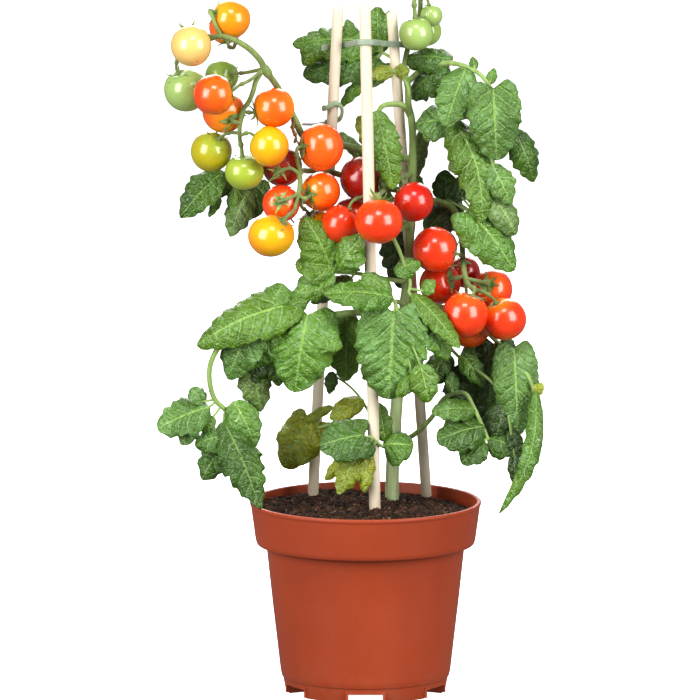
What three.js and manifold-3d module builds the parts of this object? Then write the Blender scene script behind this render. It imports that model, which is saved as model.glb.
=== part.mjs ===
// A cherry tomato plant tied to three canes, growing in a plastic pot.
// Millimetres, +Z up, the front of the plant looks along -Y.
// The origin is the centre of the pot's foot, on the surface that it stands on.
import * as THREE from 'three';
import { mergeVertices } from 'three/addons/utils/BufferGeometryUtils.js';
import Module from 'manifold-3d';

const wasm = await Module();
wasm.setup();

// Driving dimensions
const POT_HEIGHT = 116;
const RIM_RADIUS = 70;
const FOOT_RADIUS = 48.3;
const POT_WALL = 1.5;
const CHANNELS = 6;
const CHANNEL_WIDTH = 21;
const CHANNEL_HEIGHT = 5.4;
const HUB_RADIUS = 20;
const DRAIN_RADIUS = 4;
const DRAIN_FROM_CENTRE = 35;
const SOIL_EDGE = 108.5;
const SOIL_CROWN = 113.5;
const BLADE_THICKNESS = 0.8;
const STALK_RADIUS = 0.9;
const GAP = 0.32;
const CUT_OVERLAP = 1;
const MERGE_DISTANCE = 1e-3;
const POT_SEGMENTS = 24;
const ROUND_SIDES = 12;
const STALK_SIDES = 5;

// The plant's points are [x, height, y]. The height is the one seen from the front at a
// downward angle of 9.4 degrees, so a point further back stands lower by this slope.
const SIGHT_ANGLE = 9.4;
const SIGHT_SLOPE = Math.tan(THREE.MathUtils.degToRad(SIGHT_ANGLE));

const COLOURS = {
  terracotta: '#b04c2e', peat: '#2a1a12', cane: '#e6cfa6', sage: '#8d9a80', wire: '#9aa097',
  stem: '#8fa565', truss: '#5f7c33', leaf: '#4b8232',
  red: '#d8281a', deep: '#b01a14', scarlet: '#e6452a', orange: '#ee7a22', amber: '#f2a52c',
  yellow: '#f3cc3f', lime: '#c4cf52', green: '#8fb65a',
};

// Solids

function solidOf(geometry) {
  const bare = geometry.clone();
  for (const name of Object.keys(bare.attributes)) {
    if (name !== 'position') bare.deleteAttribute(name);
  }
  const merged = mergeVertices(bare, MERGE_DISTANCE);
  const vertProperties = new Float32Array(merged.attributes.position.array);
  const triVerts = new Uint32Array(merged.index.array);
  return new wasm.Manifold(new wasm.Mesh({ numProp: 3, vertProperties, triVerts }));
}

function geometryOf(solid) {
  const mesh = solid.getMesh();
  const geometry = new THREE.BufferGeometry();
  geometry.setAttribute('position', new THREE.BufferAttribute(mesh.vertProperties, 3));
  geometry.setIndex(new THREE.BufferAttribute(mesh.triVerts, 1));
  geometry.computeVertexNormals();
  return geometry;
}

function joined(solids) {
  return solids.reduce((whole, next) => whole.add(next));
}

function largestBody(solid) {
  const bodies = solid.decompose();
  bodies.sort((a, b) => b.volume() - a.volume());
  return bodies[0];
}

// The point of the plant that is seen at x and height, y behind the pot's axis
function at([x, height, y]) {
  return new THREE.Vector3(x, y, height - SIGHT_SLOPE * y);
}

function curveThrough(points) {
  return new THREE.CatmullRomCurve3(points.map(at), false, 'centripetal');
}

function tube(curve, radius, sides, step) {
  const ring = [];
  for (let i = 0; i < sides; i += 1) {
    const angle = (i / sides) * 2 * Math.PI;
    ring.push(new THREE.Vector2(radius * Math.cos(angle), radius * Math.sin(angle)));
  }
  const steps = Math.max(1, Math.round(curve.getLength() / step));
  const options = { steps, extrudePath: curve, bevelEnabled: false };
  return solidOf(new THREE.ExtrudeGeometry(new THREE.Shape(ring), options));
}

function straight(from, to, radius, sides) {
  const line = new THREE.LineCurve3(from, to);
  return tube(line, radius, sides, line.getLength());
}

function turned(profile, segments) {
  const points = profile.map(([r, z]) => new THREE.Vector2(r, z));
  const geometry = new THREE.LatheGeometry(points, segments);
  geometry.rotateX(Math.PI / 2);
  return solidOf(geometry);
}

function radialBox(angle, inner, outer, width, bottom, top) {
  const geometry = new THREE.BoxGeometry(width, outer - inner, top - bottom);
  geometry.translate(0, -(inner + outer) / 2, (bottom + top) / 2);
  geometry.rotateZ(angle);
  return solidOf(geometry);
}

// Every piece is { name, colour, roughness, build }. build(grow) makes its solid, larger all
// round by grow, and a piece is cut back to GAP from every piece that was placed before it.
const placed = [];
const model = new THREE.Group();

function boxesMeet(a, b) {
  return [0, 1, 2].every((k) => a.min[k] <= b.max[k] && b.min[k] <= a.max[k]);
}

function place(name, colour, roughness, build) {
  let solid = build(0);
  const near = placed.filter((other) => boxesMeet(solid.boundingBox(), other.box));
  for (const other of near) {
    solid = solid.subtract(other.grown);
  }
  solid = largestBody(solid);
  const grown = build(GAP);
  placed.push({ grown, box: grown.boundingBox() });
  const material = new THREE.MeshStandardMaterial({ color: COLOURS[colour], roughness });
  const mesh = new THREE.Mesh(geometryOf(solid), material);
  mesh.name = name;
  model.add(mesh);
}

// Pot: a tapered cup with a stepped rim band, standing on six sectors between channels

const FLOOR_TOP = POT_WALL;
const RIDGE_TOP = CHANNEL_HEIGHT + POT_WALL;

const POT_OUTSIDE = [
  [0, 0], [FOOT_RADIUS, 0], [49.9, 8.5], [50.4, 9], [51.5, 12.3], [56.4, 55], [60, 88.6],
  [65.8, 90.2], [66.6, 92.6], [69.4, 113.5], [RIM_RADIUS, 114.5], [RIM_RADIUS, 115.6],
  [69.3, POT_HEIGHT], [67.6, 115.6],
];
const POT_INSIDE = [
  [67.2, 113], [65, 92], [58.6, 88], [54.9, 55], [49.6, 10], [48.2, FLOOR_TOP], [0, FLOOR_TOP],
];

function channelAngles() {
  return Array.from({ length: CHANNELS }, (_, i) => (i * 2 * Math.PI) / CHANNELS);
}

function ridges(grow) {
  const width = CHANNEL_WIDTH + 2 * (POT_WALL + grow);
  const inner = HUB_RADIUS - POT_WALL - grow;
  const outer = FOOT_RADIUS + 2 * grow;
  return joined(channelAngles().map(
    (angle) => radialBox(angle, inner, outer, width, POT_WALL / 2, RIDGE_TOP + grow),
  ));
}

function drainHole(angle) {
  const height = POT_WALL + 2 * CUT_OVERLAP;
  const hole = new THREE.CylinderGeometry(DRAIN_RADIUS, DRAIN_RADIUS, height, ROUND_SIDES);
  hole.rotateX(Math.PI / 2);
  hole.translate(0, -DRAIN_FROM_CENTRE, CHANNEL_HEIGHT + POT_WALL / 2);
  hole.rotateZ(angle);
  return solidOf(hole);
}

function pot(grow) {
  const outside = POT_OUTSIDE.map(([r, z]) => [r > 0 ? r + grow : 0, z]);
  const inside = POT_INSIDE.map(([r, z]) => [r > 0 ? r - grow : 0, z + grow]);
  let solid = turned([...outside, ...inside], POT_SEGMENTS).add(ridges(grow));
  for (const angle of channelAngles()) {
    solid = solid.subtract(radialBox(
      angle, HUB_RADIUS, RIM_RADIUS, CHANNEL_WIDTH, -CUT_OVERLAP, CHANNEL_HEIGHT,
    ));
    if (grow === 0) solid = solid.subtract(drainHole(angle));
  }
  return solid;
}

// Canes: three straight wooden rods, pushed into the soil and held together near the top

const CANES = [
  { name: 'cane_front', radius: 3.55, foot: [5.4, 115.3, -10.6], head: [-0.4, 418.5, 3], buried: 80 },
  { name: 'cane_left', radius: 3.3, foot: [-31.7, 120.2, 37.5], head: [-16.5, 418.5, 35], buried: 60 },
  { name: 'cane_right', radius: 3.2, foot: [36.9, 120, 42], head: [15.8, 414.5, 35], buried: 22 },
];

function cane({ radius, foot, head, buried }, grow) {
  const top = at(head);
  const soilPoint = at(foot);
  const along = soilPoint.clone().sub(top).normalize();
  const bottom = soilPoint.clone().addScaledVector(along, buried);
  return straight(bottom, top.addScaledVector(along, -grow), radius + grow, ROUND_SIDES);
}

// Clip: a flat band that is woven behind the left cane and in front of the other two

const CLIP_HEIGHT = 3.7;
const CLIP_THICKNESS = 1.2;
const CLIP_STEP = 4;

const CLIP_ROUTE = [
  [-26, 393.5, 32.5], [-22, 394.2, 38.2], [-17.5, 395.2, 40.3], [-12, 395.6, 36], [-7, 396, 12],
  [-4, 396.4, -1], [0.3, 396.5, -2.6], [4.5, 396.3, -1], [8, 396.2, 12], [11.5, 396, 28],
  [14.5, 395.9, 31], [17.5, 395.8, 31.2], [21, 395.6, 32], [24, 395.5, 34],
];

function clip(grow) {
  const curve = curveThrough(CLIP_ROUTE);
  const steps = Math.round(curve.getLength() / CLIP_STEP);
  const half = CLIP_THICKNESS / 2 + grow;
  const rise = CLIP_HEIGHT / 2 + grow;
  const section = [];
  const points = curve.getSpacedPoints(steps);
  points.forEach((point, i) => {
    const before = points[Math.max(0, i - 1)];
    const after = points[Math.min(steps, i + 1)];
    const along = after.clone().sub(before).setZ(0).normalize();
    const across = new THREE.Vector3(-along.y, along.x, 0);
    section.push({ point, across });
  });
  const geometry = new THREE.BoxGeometry(1, 1, 1, 1, steps, 1);
  const position = geometry.attributes.position;
  for (let i = 0; i < position.count; i += 1) {
    const station = section[Math.round((position.getY(i) + 0.5) * steps)];
    const side = position.getX(i) * 2 * half;
    const up = position.getZ(i) * 2 * rise;
    const point = station.point.clone().addScaledVector(station.across, -side);
    position.setXYZ(i, point.x, point.y, point.z + up);
  }
  return solidOf(geometry);
}

// Ties: a soft green band and a grey wire that hold the truss to the left cane

const TIE_BAND = [
  [-25.6, 356.5, 33], [-23, 357, 31], [-18, 359.5, 31.3], [-14.5, 357, 34], [-15, 351, 37],
  [-19, 348.5, 40.6], [-24, 348, 38],
];
const TIE_BAND_RADIUS = 1.2;
const TIE_WIRE_RADIUS = 0.8;
const TIE_SIDES = 6;
const TIE_STEP = 5;
const TIE_WIRE = [[-24, 348, 38], [-26, 347.6, 34], [-32, 346.5, 22], [-38, 346.5, 14.5]];

function tie(grow) {
  const soft = tube(curveThrough(TIE_BAND), TIE_BAND_RADIUS + grow, TIE_SIDES, TIE_STEP);
  const wire = tube(curveThrough(TIE_WIRE), TIE_WIRE_RADIUS + grow, TIE_SIDES, TIE_STEP);
  return soft.add(wire);
}

// Main stem: thick at the soil, thin at the growing top

const STEM_ROUTE = [
  [15.5, 100, 21], [16, 117, 21], [16.5, 140, 22], [18.5, 170, 24], [21, 200, 26],
  [24, 235, 27], [26.5, 270, 27], [27.5, 300, 27], [28.5, 330, 27], [28, 348, 28],
  [25.8, 360, 31], [25.5, 370, 32], [23, 380, 33],
];
const STEM_BASE_RADIUS = 4.3;
const STEM_TOP_RADIUS = 1.7;
const STEM_STEPS = 16;
const STEM_SIDES = 8;

function mainStem(grow) {
  const curve = curveThrough(STEM_ROUTE);
  const frames = curve.computeFrenetFrames(STEM_STEPS, false);
  const geometry = new THREE.CylinderGeometry(1, 1, 1, STEM_SIDES, STEM_STEPS);
  const position = geometry.attributes.position;
  for (let i = 0; i < position.count; i += 1) {
    const station = Math.round((position.getY(i) + 0.5) * STEM_STEPS);
    const u = station / STEM_STEPS;
    const radius = THREE.MathUtils.lerp(STEM_BASE_RADIUS, STEM_TOP_RADIUS, u) + grow;
    const centre = curve.getPointAt(u);
    centre.addScaledVector(frames.normals[station], position.getZ(i) * radius);
    centre.addScaledVector(frames.binormals[station], position.getX(i) * radius);
    if (station === STEM_STEPS) centre.addScaledVector(frames.tangents[station], grow);
    position.setXYZ(i, centre.x, centre.y, centre.z);
  }
  return solidOf(geometry);
}

// Tomatoes: [colour, centre, radius, half height], truss by truss

const TOMATOES = {
  left_upper: [
    ['amber', [-81, 410.5, -2], 11.6, 11.6], ['orange', [-84.5, 406, 22], 10, 10],
    ['yellow', [-104.9, 393.8, -18], 12.3, 12.3], ['green', [-108.3, 367.3, 6], 13.1, 13.1],
    ['green', [-87, 376, 21], 10, 10], ['scarlet', [-91.7, 364, -15], 12.2, 12.2],
    ['orange', [-85.7, 354, 9], 12.7, 12.7], ['orange', [-55.2, 356.5, 0], 12.4, 12],
    ['lime', [-93.3, 329.8, 13], 12.3, 12.3], ['yellow', [-58, 332.7, -9], 11.7, 12.2],
    ['lime', [-73.3, 317, 4], 11.8, 10.7],
  ],
  left_lower: [
    ['deep', [-50.5, 321, 17], 12.2, 12.2], ['scarlet', [-26.8, 332.5, 6], 13.4, 14.3],
    ['orange', [-27, 305.5, 10], 11.8, 11.8], ['scarlet', [-51, 298, 3], 11.3, 11.3],
    ['amber', [-57, 278, -15], 14, 12.6], ['amber', [-29, 282.7, 18], 11.7, 11.7],
    ['red', [-8.5, 291.5, 31], 10.5, 10.5],
  ],
  centre: [
    ['red', [-15, 285, -2], 11.8, 11.8], ['scarlet', [8, 286.7, -22], 14.4, 13.5],
    ['deep', [-2, 313.5, 22], 13.5, 13.5], ['red', [29.3, 299, 10], 12, 12],
  ],
  right: [
    ['red', [42, 270, 5], 13.8, 13.8], ['red', [45, 249, 22], 12.5, 12.5],
    ['scarlet', [60, 229.5, -5], 14, 14], ['scarlet', [84, 227.2, 6], 13.2, 12.8],
    ['red', [76.8, 245.5, 28], 12.3, 12.3], ['deep', [60, 256, 42], 9.5, 9.5],
    ['orange', [63, 222, 24], 12.2, 12.2],
  ],
  top: [
    ['green', [30.5, 402, 28], 10.3, 10.3], ['green', [39.8, 413.3, 41], 6.7, 6.7],
    ['green', [37, 404, 54], 9, 9],
  ],
};

const TOMATO_SEGMENTS = 10;
const TOMATO_RINGS = 6;

function tomato(centre, radius, halfHeight, grow) {
  const geometry = new THREE.SphereGeometry(1, TOMATO_SEGMENTS, TOMATO_RINGS);
  geometry.rotateX(Math.PI / 2);
  geometry.scale(radius + grow, radius + grow, halfHeight + grow);
  geometry.translate(...at(centre).toArray());
  return solidOf(geometry);
}

// Trusses: [radius, points] for every stalk, each ending in the middle of its tomato

const TRUSSES = {
  left_upper: [
    [2.4, [[28, 325, 27], [5, 330, 38], [-15, 334, 29], [-30, 338, 24], [-38, 340, 16],
      [-42, 348, 12], [-47, 358, 14], [-53, 369, 6], [-60, 379, -4], [-64, 386, -7],
      [-71, 393, -9], [-80, 398, -10], [-88, 400, -11], [-94, 398.5, -8]]],
    [1.3, [[-92, 399.5, -9], [-103, 402, -3], [-109, 404.5, -9], [-104.9, 393.8, -18]]],
    [1.2, [[-87, 400, -11], [-90, 406, -11.5], [-93, 413, -10], [-94, 416, -6], [-81, 410.5, -2]]],
    [1.2, [[-78, 397, -10], [-80, 393, 4], [-83, 395, 14], [-84.5, 406, 22]]],
    [1.2, [[-102, 401.5, -4], [-112, 392, -2], [-114, 384, 0], [-114, 380, 2],
      [-108.3, 367.3, 6]]],
    [1.2, [[-61, 380, -4], [-70, 373, -10], [-76, 370, -12], [-80, 367, -14], [-91.7, 364, -15]]],
    [1.2, [[-62, 380, -4], [-72, 378, 6], [-78, 377.5, 12], [-87, 376, 21]]],
    [1.6, [[-61, 381, -5], [-66, 373, -5], [-68, 366, -5], [-70.5, 360, -4], [-74, 355, -2],
      [-75, 350, -3], [-76, 344, -2], [-76, 338, 0], [-75, 332, 2], [-73.3, 317, 4]]],
    [1.1, [[-75.5, 347, -3], [-80, 348, -5], [-85.7, 354, 9]]],
    [1.1, [[-76, 341, -1], [-83, 341, 4], [-88, 338, 7], [-93.3, 329.8, 13]]],
    [1.1, [[-74, 354, -2], [-68, 353.5, -1], [-55.2, 356.5, 0]]],
    [1.1, [[-76, 339.5, 0], [-70, 341, -5], [-58, 332.7, -9]]],
  ],
  left_lower: [
    [2.1, [[27.5, 305, 27], [12, 308, 39], [-6, 312, 38], [-16, 316, 32], [-24, 318, 27], [-34, 318, 16],
      [-39.5, 317, 4], [-39.5, 310, -1], [-40.5, 303, -3]]],
    [1.3, [[-39, 316, 5], [-41.5, 326, 0], [-41, 332, -1], [-26.8, 332.5, 6]]],
    [1.2, [[-39.5, 316, 3], [-46, 319.5, 0], [-53, 317, 2], [-50.5, 321, 17]]],
    [1.2, [[-40.5, 303, -3], [-37, 301, -3], [-27, 305.5, 10]]],
    [1.2, [[-40.5, 304, -3], [-46, 301, -8], [-52, 299, -10], [-51, 298, 3]]],
    [1.2, [[-40.5, 303.5, -3], [-43, 294, -10], [-47, 290, -20], [-57, 278, -15]]],
    [1.2, [[-40.5, 304, -3], [-38.5, 296, 6], [-35, 293, 14], [-29, 282.7, 18]]],
    [1.2, [[-6, 312, 38], [-6, 302, 39], [-8.5, 291.5, 31]]],
  ],
  centre: [
    [1.7, [[28, 316, 26], [17, 312, 14], [10, 305, 8], [8, 303, -3], [8, 300, -16],
      [8, 286.7, -22]]],
    [1.2, [[9, 304, 7], [-2, 302, 4], [-8, 299, 0], [-15, 285, -2]]],
    [1.2, [[13, 308, 11], [8, 311, 16], [-2, 313.5, 22]]],
    [1.2, [[22, 314, 21], [23, 308, 14], [29.3, 299, 10]]],
  ],
  right: [
    [2.1, [[27.5, 298, 27], [40, 300, 32], [52, 296, 30], [57, 285, 26], [58.5, 272, 18],
      [59, 262, 8], [60, 255, 2], [62, 249, 2], [65, 245, 2]]],
    [1.2, [[58.7, 266, 12], [56, 267, 3], [42, 270, 5]]],
    [1.2, [[60, 254, 2], [55, 252, 8], [45, 249, 22]]],
    [1.2, [[63, 247.5, 1], [66, 245.5, -5], [60, 229.5, -5]]],
    [1.2, [[64, 246, 1], [72, 243.5, 0], [77, 240, 2], [84, 227.2, 6]]],
    [1.2, [[61, 252, 1], [66, 251, 4], [73, 249.5, 12], [76.8, 245.5, 28]]],
    [1.2, [[58.2, 276, 21], [59, 268, 32], [60, 256, 42]]],
    [1.2, [[60, 254, 3], [61, 244, 14], [63, 222, 24]]],
  ],
  top: [
    [1.7, [[23, 380, 33], [26, 395, 44], [32, 410, 50], [33, 424, 42], [31, 427, 34],
      [29.5, 422, 29], [30.5, 402, 28]]],
    [1.1, [[33, 423, 43], [37, 424, 42], [39.8, 413.3, 41]]],
    [1.1, [[30, 405, 48.5], [33, 407, 52], [37, 404, 54]]],
  ],
};

const TRUSS_STEP = 12;

function truss(stalks, grow) {
  return joined(stalks.map(([radius, points]) => tube(
    curveThrough(points), radius + grow, STALK_SIDES, TRUSS_STEP,
  )));
}

// Leaves: a leaf has stalks as [radius, points], and blades as [base, tip, half width], with
// the way a blade faces where it isn't the front, and how far it bows out to its side where it
// isn't straight. A short stalk joins each blade to the leaf.

const FACING = {
  front: new THREE.Vector3(0, -0.8, 0.6),
  back: new THREE.Vector3(0, 0.75, 0.66),
};

const LEAVES = {
  leaf_top: {
    stalks: [
      [1.3, [
        [23, 380, 33], [18, 386, 42], [10, 391, 46],
      ]],
    ],
    blades: [
      [[8, 388, 47], [-38, 378, 44], 14], [[8, 396, 46], [-44, 397, 42], 12],
      [[-26, 402, 43], [-38, 383, 40], 8], [[-7, 394, 46], [-11, 411, 46], 5],
      [[8, 390, 47], [7, 418.5, 46], 9], [[10, 394, 45], [14, 416, 44], 4],
      [[-1, 374, 45], [-15.5, 358, 44], 4], [[16, 384, 44], [3, 370, 42], 4.5],
    ],
  },
  leaf_upper_right: {
    stalks: [
      [1.8, [
        [25, 372, 33], [34, 380, 30], [48, 384, 22], [60, 382, 12], [70, 376, 4], [77, 366, -4],
      ]],
    ],
    blades: [
      [[52, 386, 22], [22, 387, 40], 9], [[50, 381, 22], [25, 364, 40], 11],
      [[61, 381, 9], [48, 345, 2], 12], [[77, 368, -5], [79, 324, -9], 16],
      [[66, 380, 8], [64.5, 388, 11], 2.5], [[75, 371, 0], [77.5, 381, 5], 3],
      [[80, 366, -2], [94, 356, -3], 4],
    ],
  },
  leaf_right_hanging: {
    stalks: [
      [1.7, [
        [28, 345, 28], [40, 345, 30], [55, 350, 22], [66, 351, 12], [73, 345, 4], [76, 330, 1],
        [77, 315, 0], [74, 297, 2], [68, 290, 4],
      ]],
    ],
    blades: [
      [[52, 350, 14], [71, 287, -8], 13, 'front', -5], [[51, 348, 14], [30, 347, 20], 13],
      [[90, 343, 4], [102, 311, 5], 9], [[76, 322, 0], [88, 297, -4], 9],
      [[76, 304, 1], [91, 279, -4], 9], [[62, 293, 2], [90, 257, -2], 14.5],
      [[62, 326, 26], [50, 319, 24], 7], [[58, 300, 30], [62, 320, 26], 6, 'back'],
      [[49, 299, 40], [48, 319, 42], 8, 'back'], [[35, 344, 32], [31, 314, 38], 4.5],
      [[58, 300, 36], [34, 278, 42], 12],
    ],
  },
  leaf_beside_cane: {
    stalks: [
      [2.0, [
        [27, 352, 29], [23, 358, 24], [16, 359, 22], [10, 357.5, 18], [7, 352, 12],
      ]],
      [1.3, [
        [27, 352, 29], [26.5, 358, 25], [26.5, 364, 22], [24.5, 372, 22], [17, 379, 22],
      ]],
    ],
    blades: [
      [[6.5, 355, 12], [17, 306.5, 5], 10], [[17, 379, 22], [3, 377, 22], 5.5],
      [[17, 379, 22], [26.5, 380, 20], 5],
    ],
  },
  leaf_left_behind: {
    stalks: [
      [1.5, [
        [27.5, 285, 27], [0, 291, 52], [-40, 300, 50], [-75, 311, 38], [-84, 313, 33],
      ]],
    ],
    blades: [
      [[-86, 318, 32], [-112.5, 290, 26], 11], [[-82, 317, 36], [-91, 302, 37], 7],
      [[-79, 309, 33], [-79, 291, 31], 5], [[-71, 307, 36], [-82, 278, 28], 9],
      [[-67, 308, 39], [-68, 289, 36], 8], [[-61, 313, 42], [-65, 297, 38], 5],
      [[-88, 302, 34], [-95, 290, 32], 2.6], [[18, 286, 41], [22, 246, 38], 11],
    ],
  },
  leaf_middle: {
    stalks: [
      [1.5, [
        [25, 250, 27], [12, 252, 12], [-4, 255, 3], [-19, 256, -6],
      ]],
    ],
    blades: [
      [[-20, 257, -7], [-36, 289, -9], 14], [[-18, 257, -7], [-42, 262, -9], 12],
      [[-16, 257, -7], [-3, 278, -19], 11], [[-19, 256, -8], [-45, 240, -9], 10],
      [[-8, 252, 4], [-34, 238, 10], 7],
    ],
  },
  leaf_front: {
    stalks: [
      [1.6, [
        [24, 236, 27], [19, 238, 10], [18, 237, -15],
      ]],
    ],
    blades: [
      [[17, 231, -17], [14, 178, -24], 22], [[33, 200, -27], [38, 176, -30], 9],
      [[30, 192, -26], [18, 180, -26], 5], [[17, 240, -16], [-25, 244, -22], 10],
      [[16, 242, -14], [-2, 255, -14], 7],
    ],
  },
  leaf_front_right: {
    stalks: [
      [1.4, [
        [26, 285, 26], [17, 278, 8], [20, 270, -2], [23, 262, -5], [27, 250, -7], [26, 243, -10],
      ]],
    ],
    blades: [
      [[28, 243, -11], [57, 210, -24], 7], [[36, 231, -12], [50, 202, -16], 10],
      [[34, 243, -8], [42, 251, -9], 5], [[17, 256, -4], [33, 262, -6], 7],
    ],
  },
  leaf_left_large: {
    stalks: [
      [2.2, [
        [23, 230, 26], [5, 231, 4], [-10, 231, -4], [-35, 228, -12], [-50, 229, -14],
        [-61, 228, -15], [-72, 225, -17], [-82, 218, -18], [-90, 208, -18], [-94, 198, -16],
        [-94, 188, -14], [-91, 178, -12], [-85, 172, -10],
      ]],
    ],
    blades: [
      [[-35, 230, -13], [-43, 182.5, -22], 20], [[-34, 219, -15], [-14, 210, -19], 9],
      [[-44, 237, -12], [-102, 212.5, -22], 15], [[-58, 231, -13], [-50, 249, -10], 10],
      [[-52, 231, -13], [-33, 241, -11], 6], [[-66, 226, -17], [-84, 190, -14], 13],
      [[-56, 226, -13], [-70, 196, -8], 12], [[-61, 206, -7], [-73, 185, -5], 8],
      [[-57, 208, -7], [-52, 186, -7], 6], [[-70, 202, -6], [-63, 170, -4], 10],
      [[-11, 231, 3], [-12, 189, 7], 12], [[-94, 173, -12], [-126, 161, -16], 13],
      [[-103, 168, -13], [-111, 150, -16], 7], [[-98, 175, -12], [-105, 185, -14], 6],
      [[-92, 168, -12], [-98, 157, -13], 4], [[-86, 165, -12], [-63, 112, -34], 13],
      [[-84, 156, -14], [-103, 150, -18], 9], [[-80, 148, -22], [-64, 139, -26], 8.5],
      [[-86, 150, -13], [-99, 129, -17], 9.5], [[-80, 177, -11], [-66, 149, -14], 11],
    ],
  },
  leaf_low_centre: {
    stalks: [
      [1.4, [
        [16.5, 147, 21], [12.5, 149, 5], [9, 150, -12], [3, 155, -17],
      ]],
    ],
    blades: [
      [[-1, 156, -18], [-28, 150, -22], 15], [[12, 152, -4], [8, 176, -1], 6],
      [[11, 150, -8], [29, 150, -10], 12], [[-4, 144, -17], [-17, 120, -22], 8],
      [[-8, 145, -14], [-25, 129, -12], 5], [[2, 147, -17], [-1, 121, -22], 5],
    ],
  },
  leaf_low_left: {
    stalks: [
      [1.4, [
        [17.5, 158, 22], [2, 160, 14], [-16, 163, 18], [-31, 160, 25],
      ]],
      [0.9, [
        [6, 160, 15], [2, 170, 13], [-4, 180, 12], [-12, 188, 11], [-20, 193, 10],
      ]],
    ],
    blades: [
      [[-34, 164, 26], [-50, 136, 25], 14], [[-38, 163, 26], [-20, 174, 27], 3.5],
      [[-1, 178, 12], [-22, 167, 9], 7], [[-20, 195, 10], [-22, 181, 12], 4],
      [[-28, 158, 24], [-20, 163, 24], 4],
    ],
  },
  leaf_low_right: {
    stalks: [
      [1.6, [
        [17.5, 150, 22], [24, 153, 24], [29, 156, 27], [35, 161, 32], [41, 168, 33], [47, 178, 25],
        [55, 182, 15], [61, 181, 8], [66, 172, 2], [71, 161, -2], [76, 149, -4],
      ]],
    ],
    blades: [
      [[67, 172, 2], [40, 171, -4], 8], [[72, 161, -3], [43, 154, -8], 13],
      [[72, 153, -4], [58, 139, -9], 9], [[74, 154, -3], [93, 147, -6], 9],
      [[53, 182, 17], [52, 195, 18], 4.5],
    ],
  },
  leaf_right_outer: {
    stalks: [
      [1.6, [
        [24, 240, 27], [42, 236, 36], [60, 230, 42], [70, 223, 40], [80, 213, 28], [90, 205, 10],
        [98, 193, 0], [104, 178, -6],
      ]],
      [1.2, [
        [46, 235, 38], [49, 214, 32], [60, 201, 20], [75, 190, 5], [85, 178, -2],
      ]],
    ],
    blades: [
      [[90, 210, 7], [92, 156, -5], 13.6], [[103, 184, -7], [80.5, 108.5, -24], 5.5, 'front', -9],
      [[101, 181, -5], [107, 188, -5], 3.5], [[66, 214, 30], [70, 180, 27], 11],
      [[78, 212, 29], [74, 153, 24], 16], [[86, 180, -1], [78, 150, -2], 10],
      [[88, 160, -4], [93, 142, -8], 5], [[90, 145, -8], [90, 126, -11], 4],
      [[82, 211, 26], [89, 197, 20], 6], [[58, 206, 17], [72, 186, 12], 7],
      [[50, 207, 26], [38, 187, 22], 9], [[60, 200, 24], [58, 164, 22], 12],
    ],
  },
  leaf_back_upper: {
    stalks: [
      [1.5, [
        [28, 320, 28], [26, 324, 50], [18, 322, 70], [8, 312, 84],
      ]],
    ],
    blades: [
      [[20, 324, 62], [34, 301, 78], 8, 'back'], [[14, 321, 74], [-8, 301, 84], 9, 'back'],
      [[8, 312, 84], [4, 282, 96], 11, 'back'], [[10, 327, 54], [-4, 352, 50], 8],
      [[-2, 325, 52], [-15, 342, 48], 4],
    ],
  },
  leaf_back_lower: {
    stalks: [
      [1.6, [
        [20, 190, 26], [14, 200, 50], [4, 206, 70], [-2, 200, 84],
      ]],
    ],
    blades: [
      [[8, 205, 62], [34, 198, 76], 8, 'back'], [[2, 206, 74], [-24, 206, 82], 8, 'back'],
      [[4, 204, 82], [8, 184, 96], 8, 'back'], [[16, 200, 46], [38, 216, 58], 8, 'back'],
    ],
  },
};

const LEAF_STEP = 14;
const LEAF_BEND = 0.1;
const LEAF_FOLD = 0.18;
const BLADE_END = 0.16;
const BLADE_FULLNESS = 0.65;
const NARROW_BLADE = 8;
const BLADE_STEPS = 3;
const BLADE_STALK_SIDES = 4;
const STALK_OVERLAP = 2;

// The width of a blade from its base to its tip, as a share of its widest
function bladeOutline(u) {
  return Math.max(BLADE_END, Math.sin(Math.PI * u ** BLADE_FULLNESS) ** BLADE_FULLNESS);
}

function blade([from, to, halfWidth, facing = 'front', bow = 0], grow) {
  const base = at(from);
  const tip = at(to);
  const along = tip.clone().sub(base).normalize();
  base.addScaledVector(along, -grow);
  tip.addScaledVector(along, grow);
  const across = along.clone().cross(FACING[facing]).normalize();
  const outward = across.clone().cross(along);
  const bulge = LEAF_BEND * base.distanceTo(tip);
  const halves = halfWidth > NARROW_BLADE ? 2 : 1;
  const geometry = new THREE.BoxGeometry(1, 1, 1, halves, BLADE_STEPS, 1);
  const position = geometry.attributes.position;
  for (let i = 0; i < position.count; i += 1) {
    const u = position.getY(i) + 0.5;
    const side = position.getX(i) * 2;
    const width = halfWidth * bladeOutline(u) + grow;
    const lift = position.getZ(i) * (BLADE_THICKNESS + 2 * grow);
    const arch = bulge * Math.sin(Math.PI * u) - LEAF_FOLD * width * Math.abs(side);
    const point = base.clone().lerp(tip, u);
    point.addScaledVector(across, side * width + bow * Math.sin(Math.PI * u));
    point.addScaledVector(outward, arch + lift);
    position.setXYZ(i, point.x, point.y, point.z);
  }
  return solidOf(geometry);
}

const CURVE_SAMPLES = 40;

function nearestOn(curves, point) {
  const samples = curves.flatMap((curve) => curve.getSpacedPoints(CURVE_SAMPLES));
  samples.sort((a, b) => a.distanceTo(point) - b.distanceTo(point));
  return samples[0];
}

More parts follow.
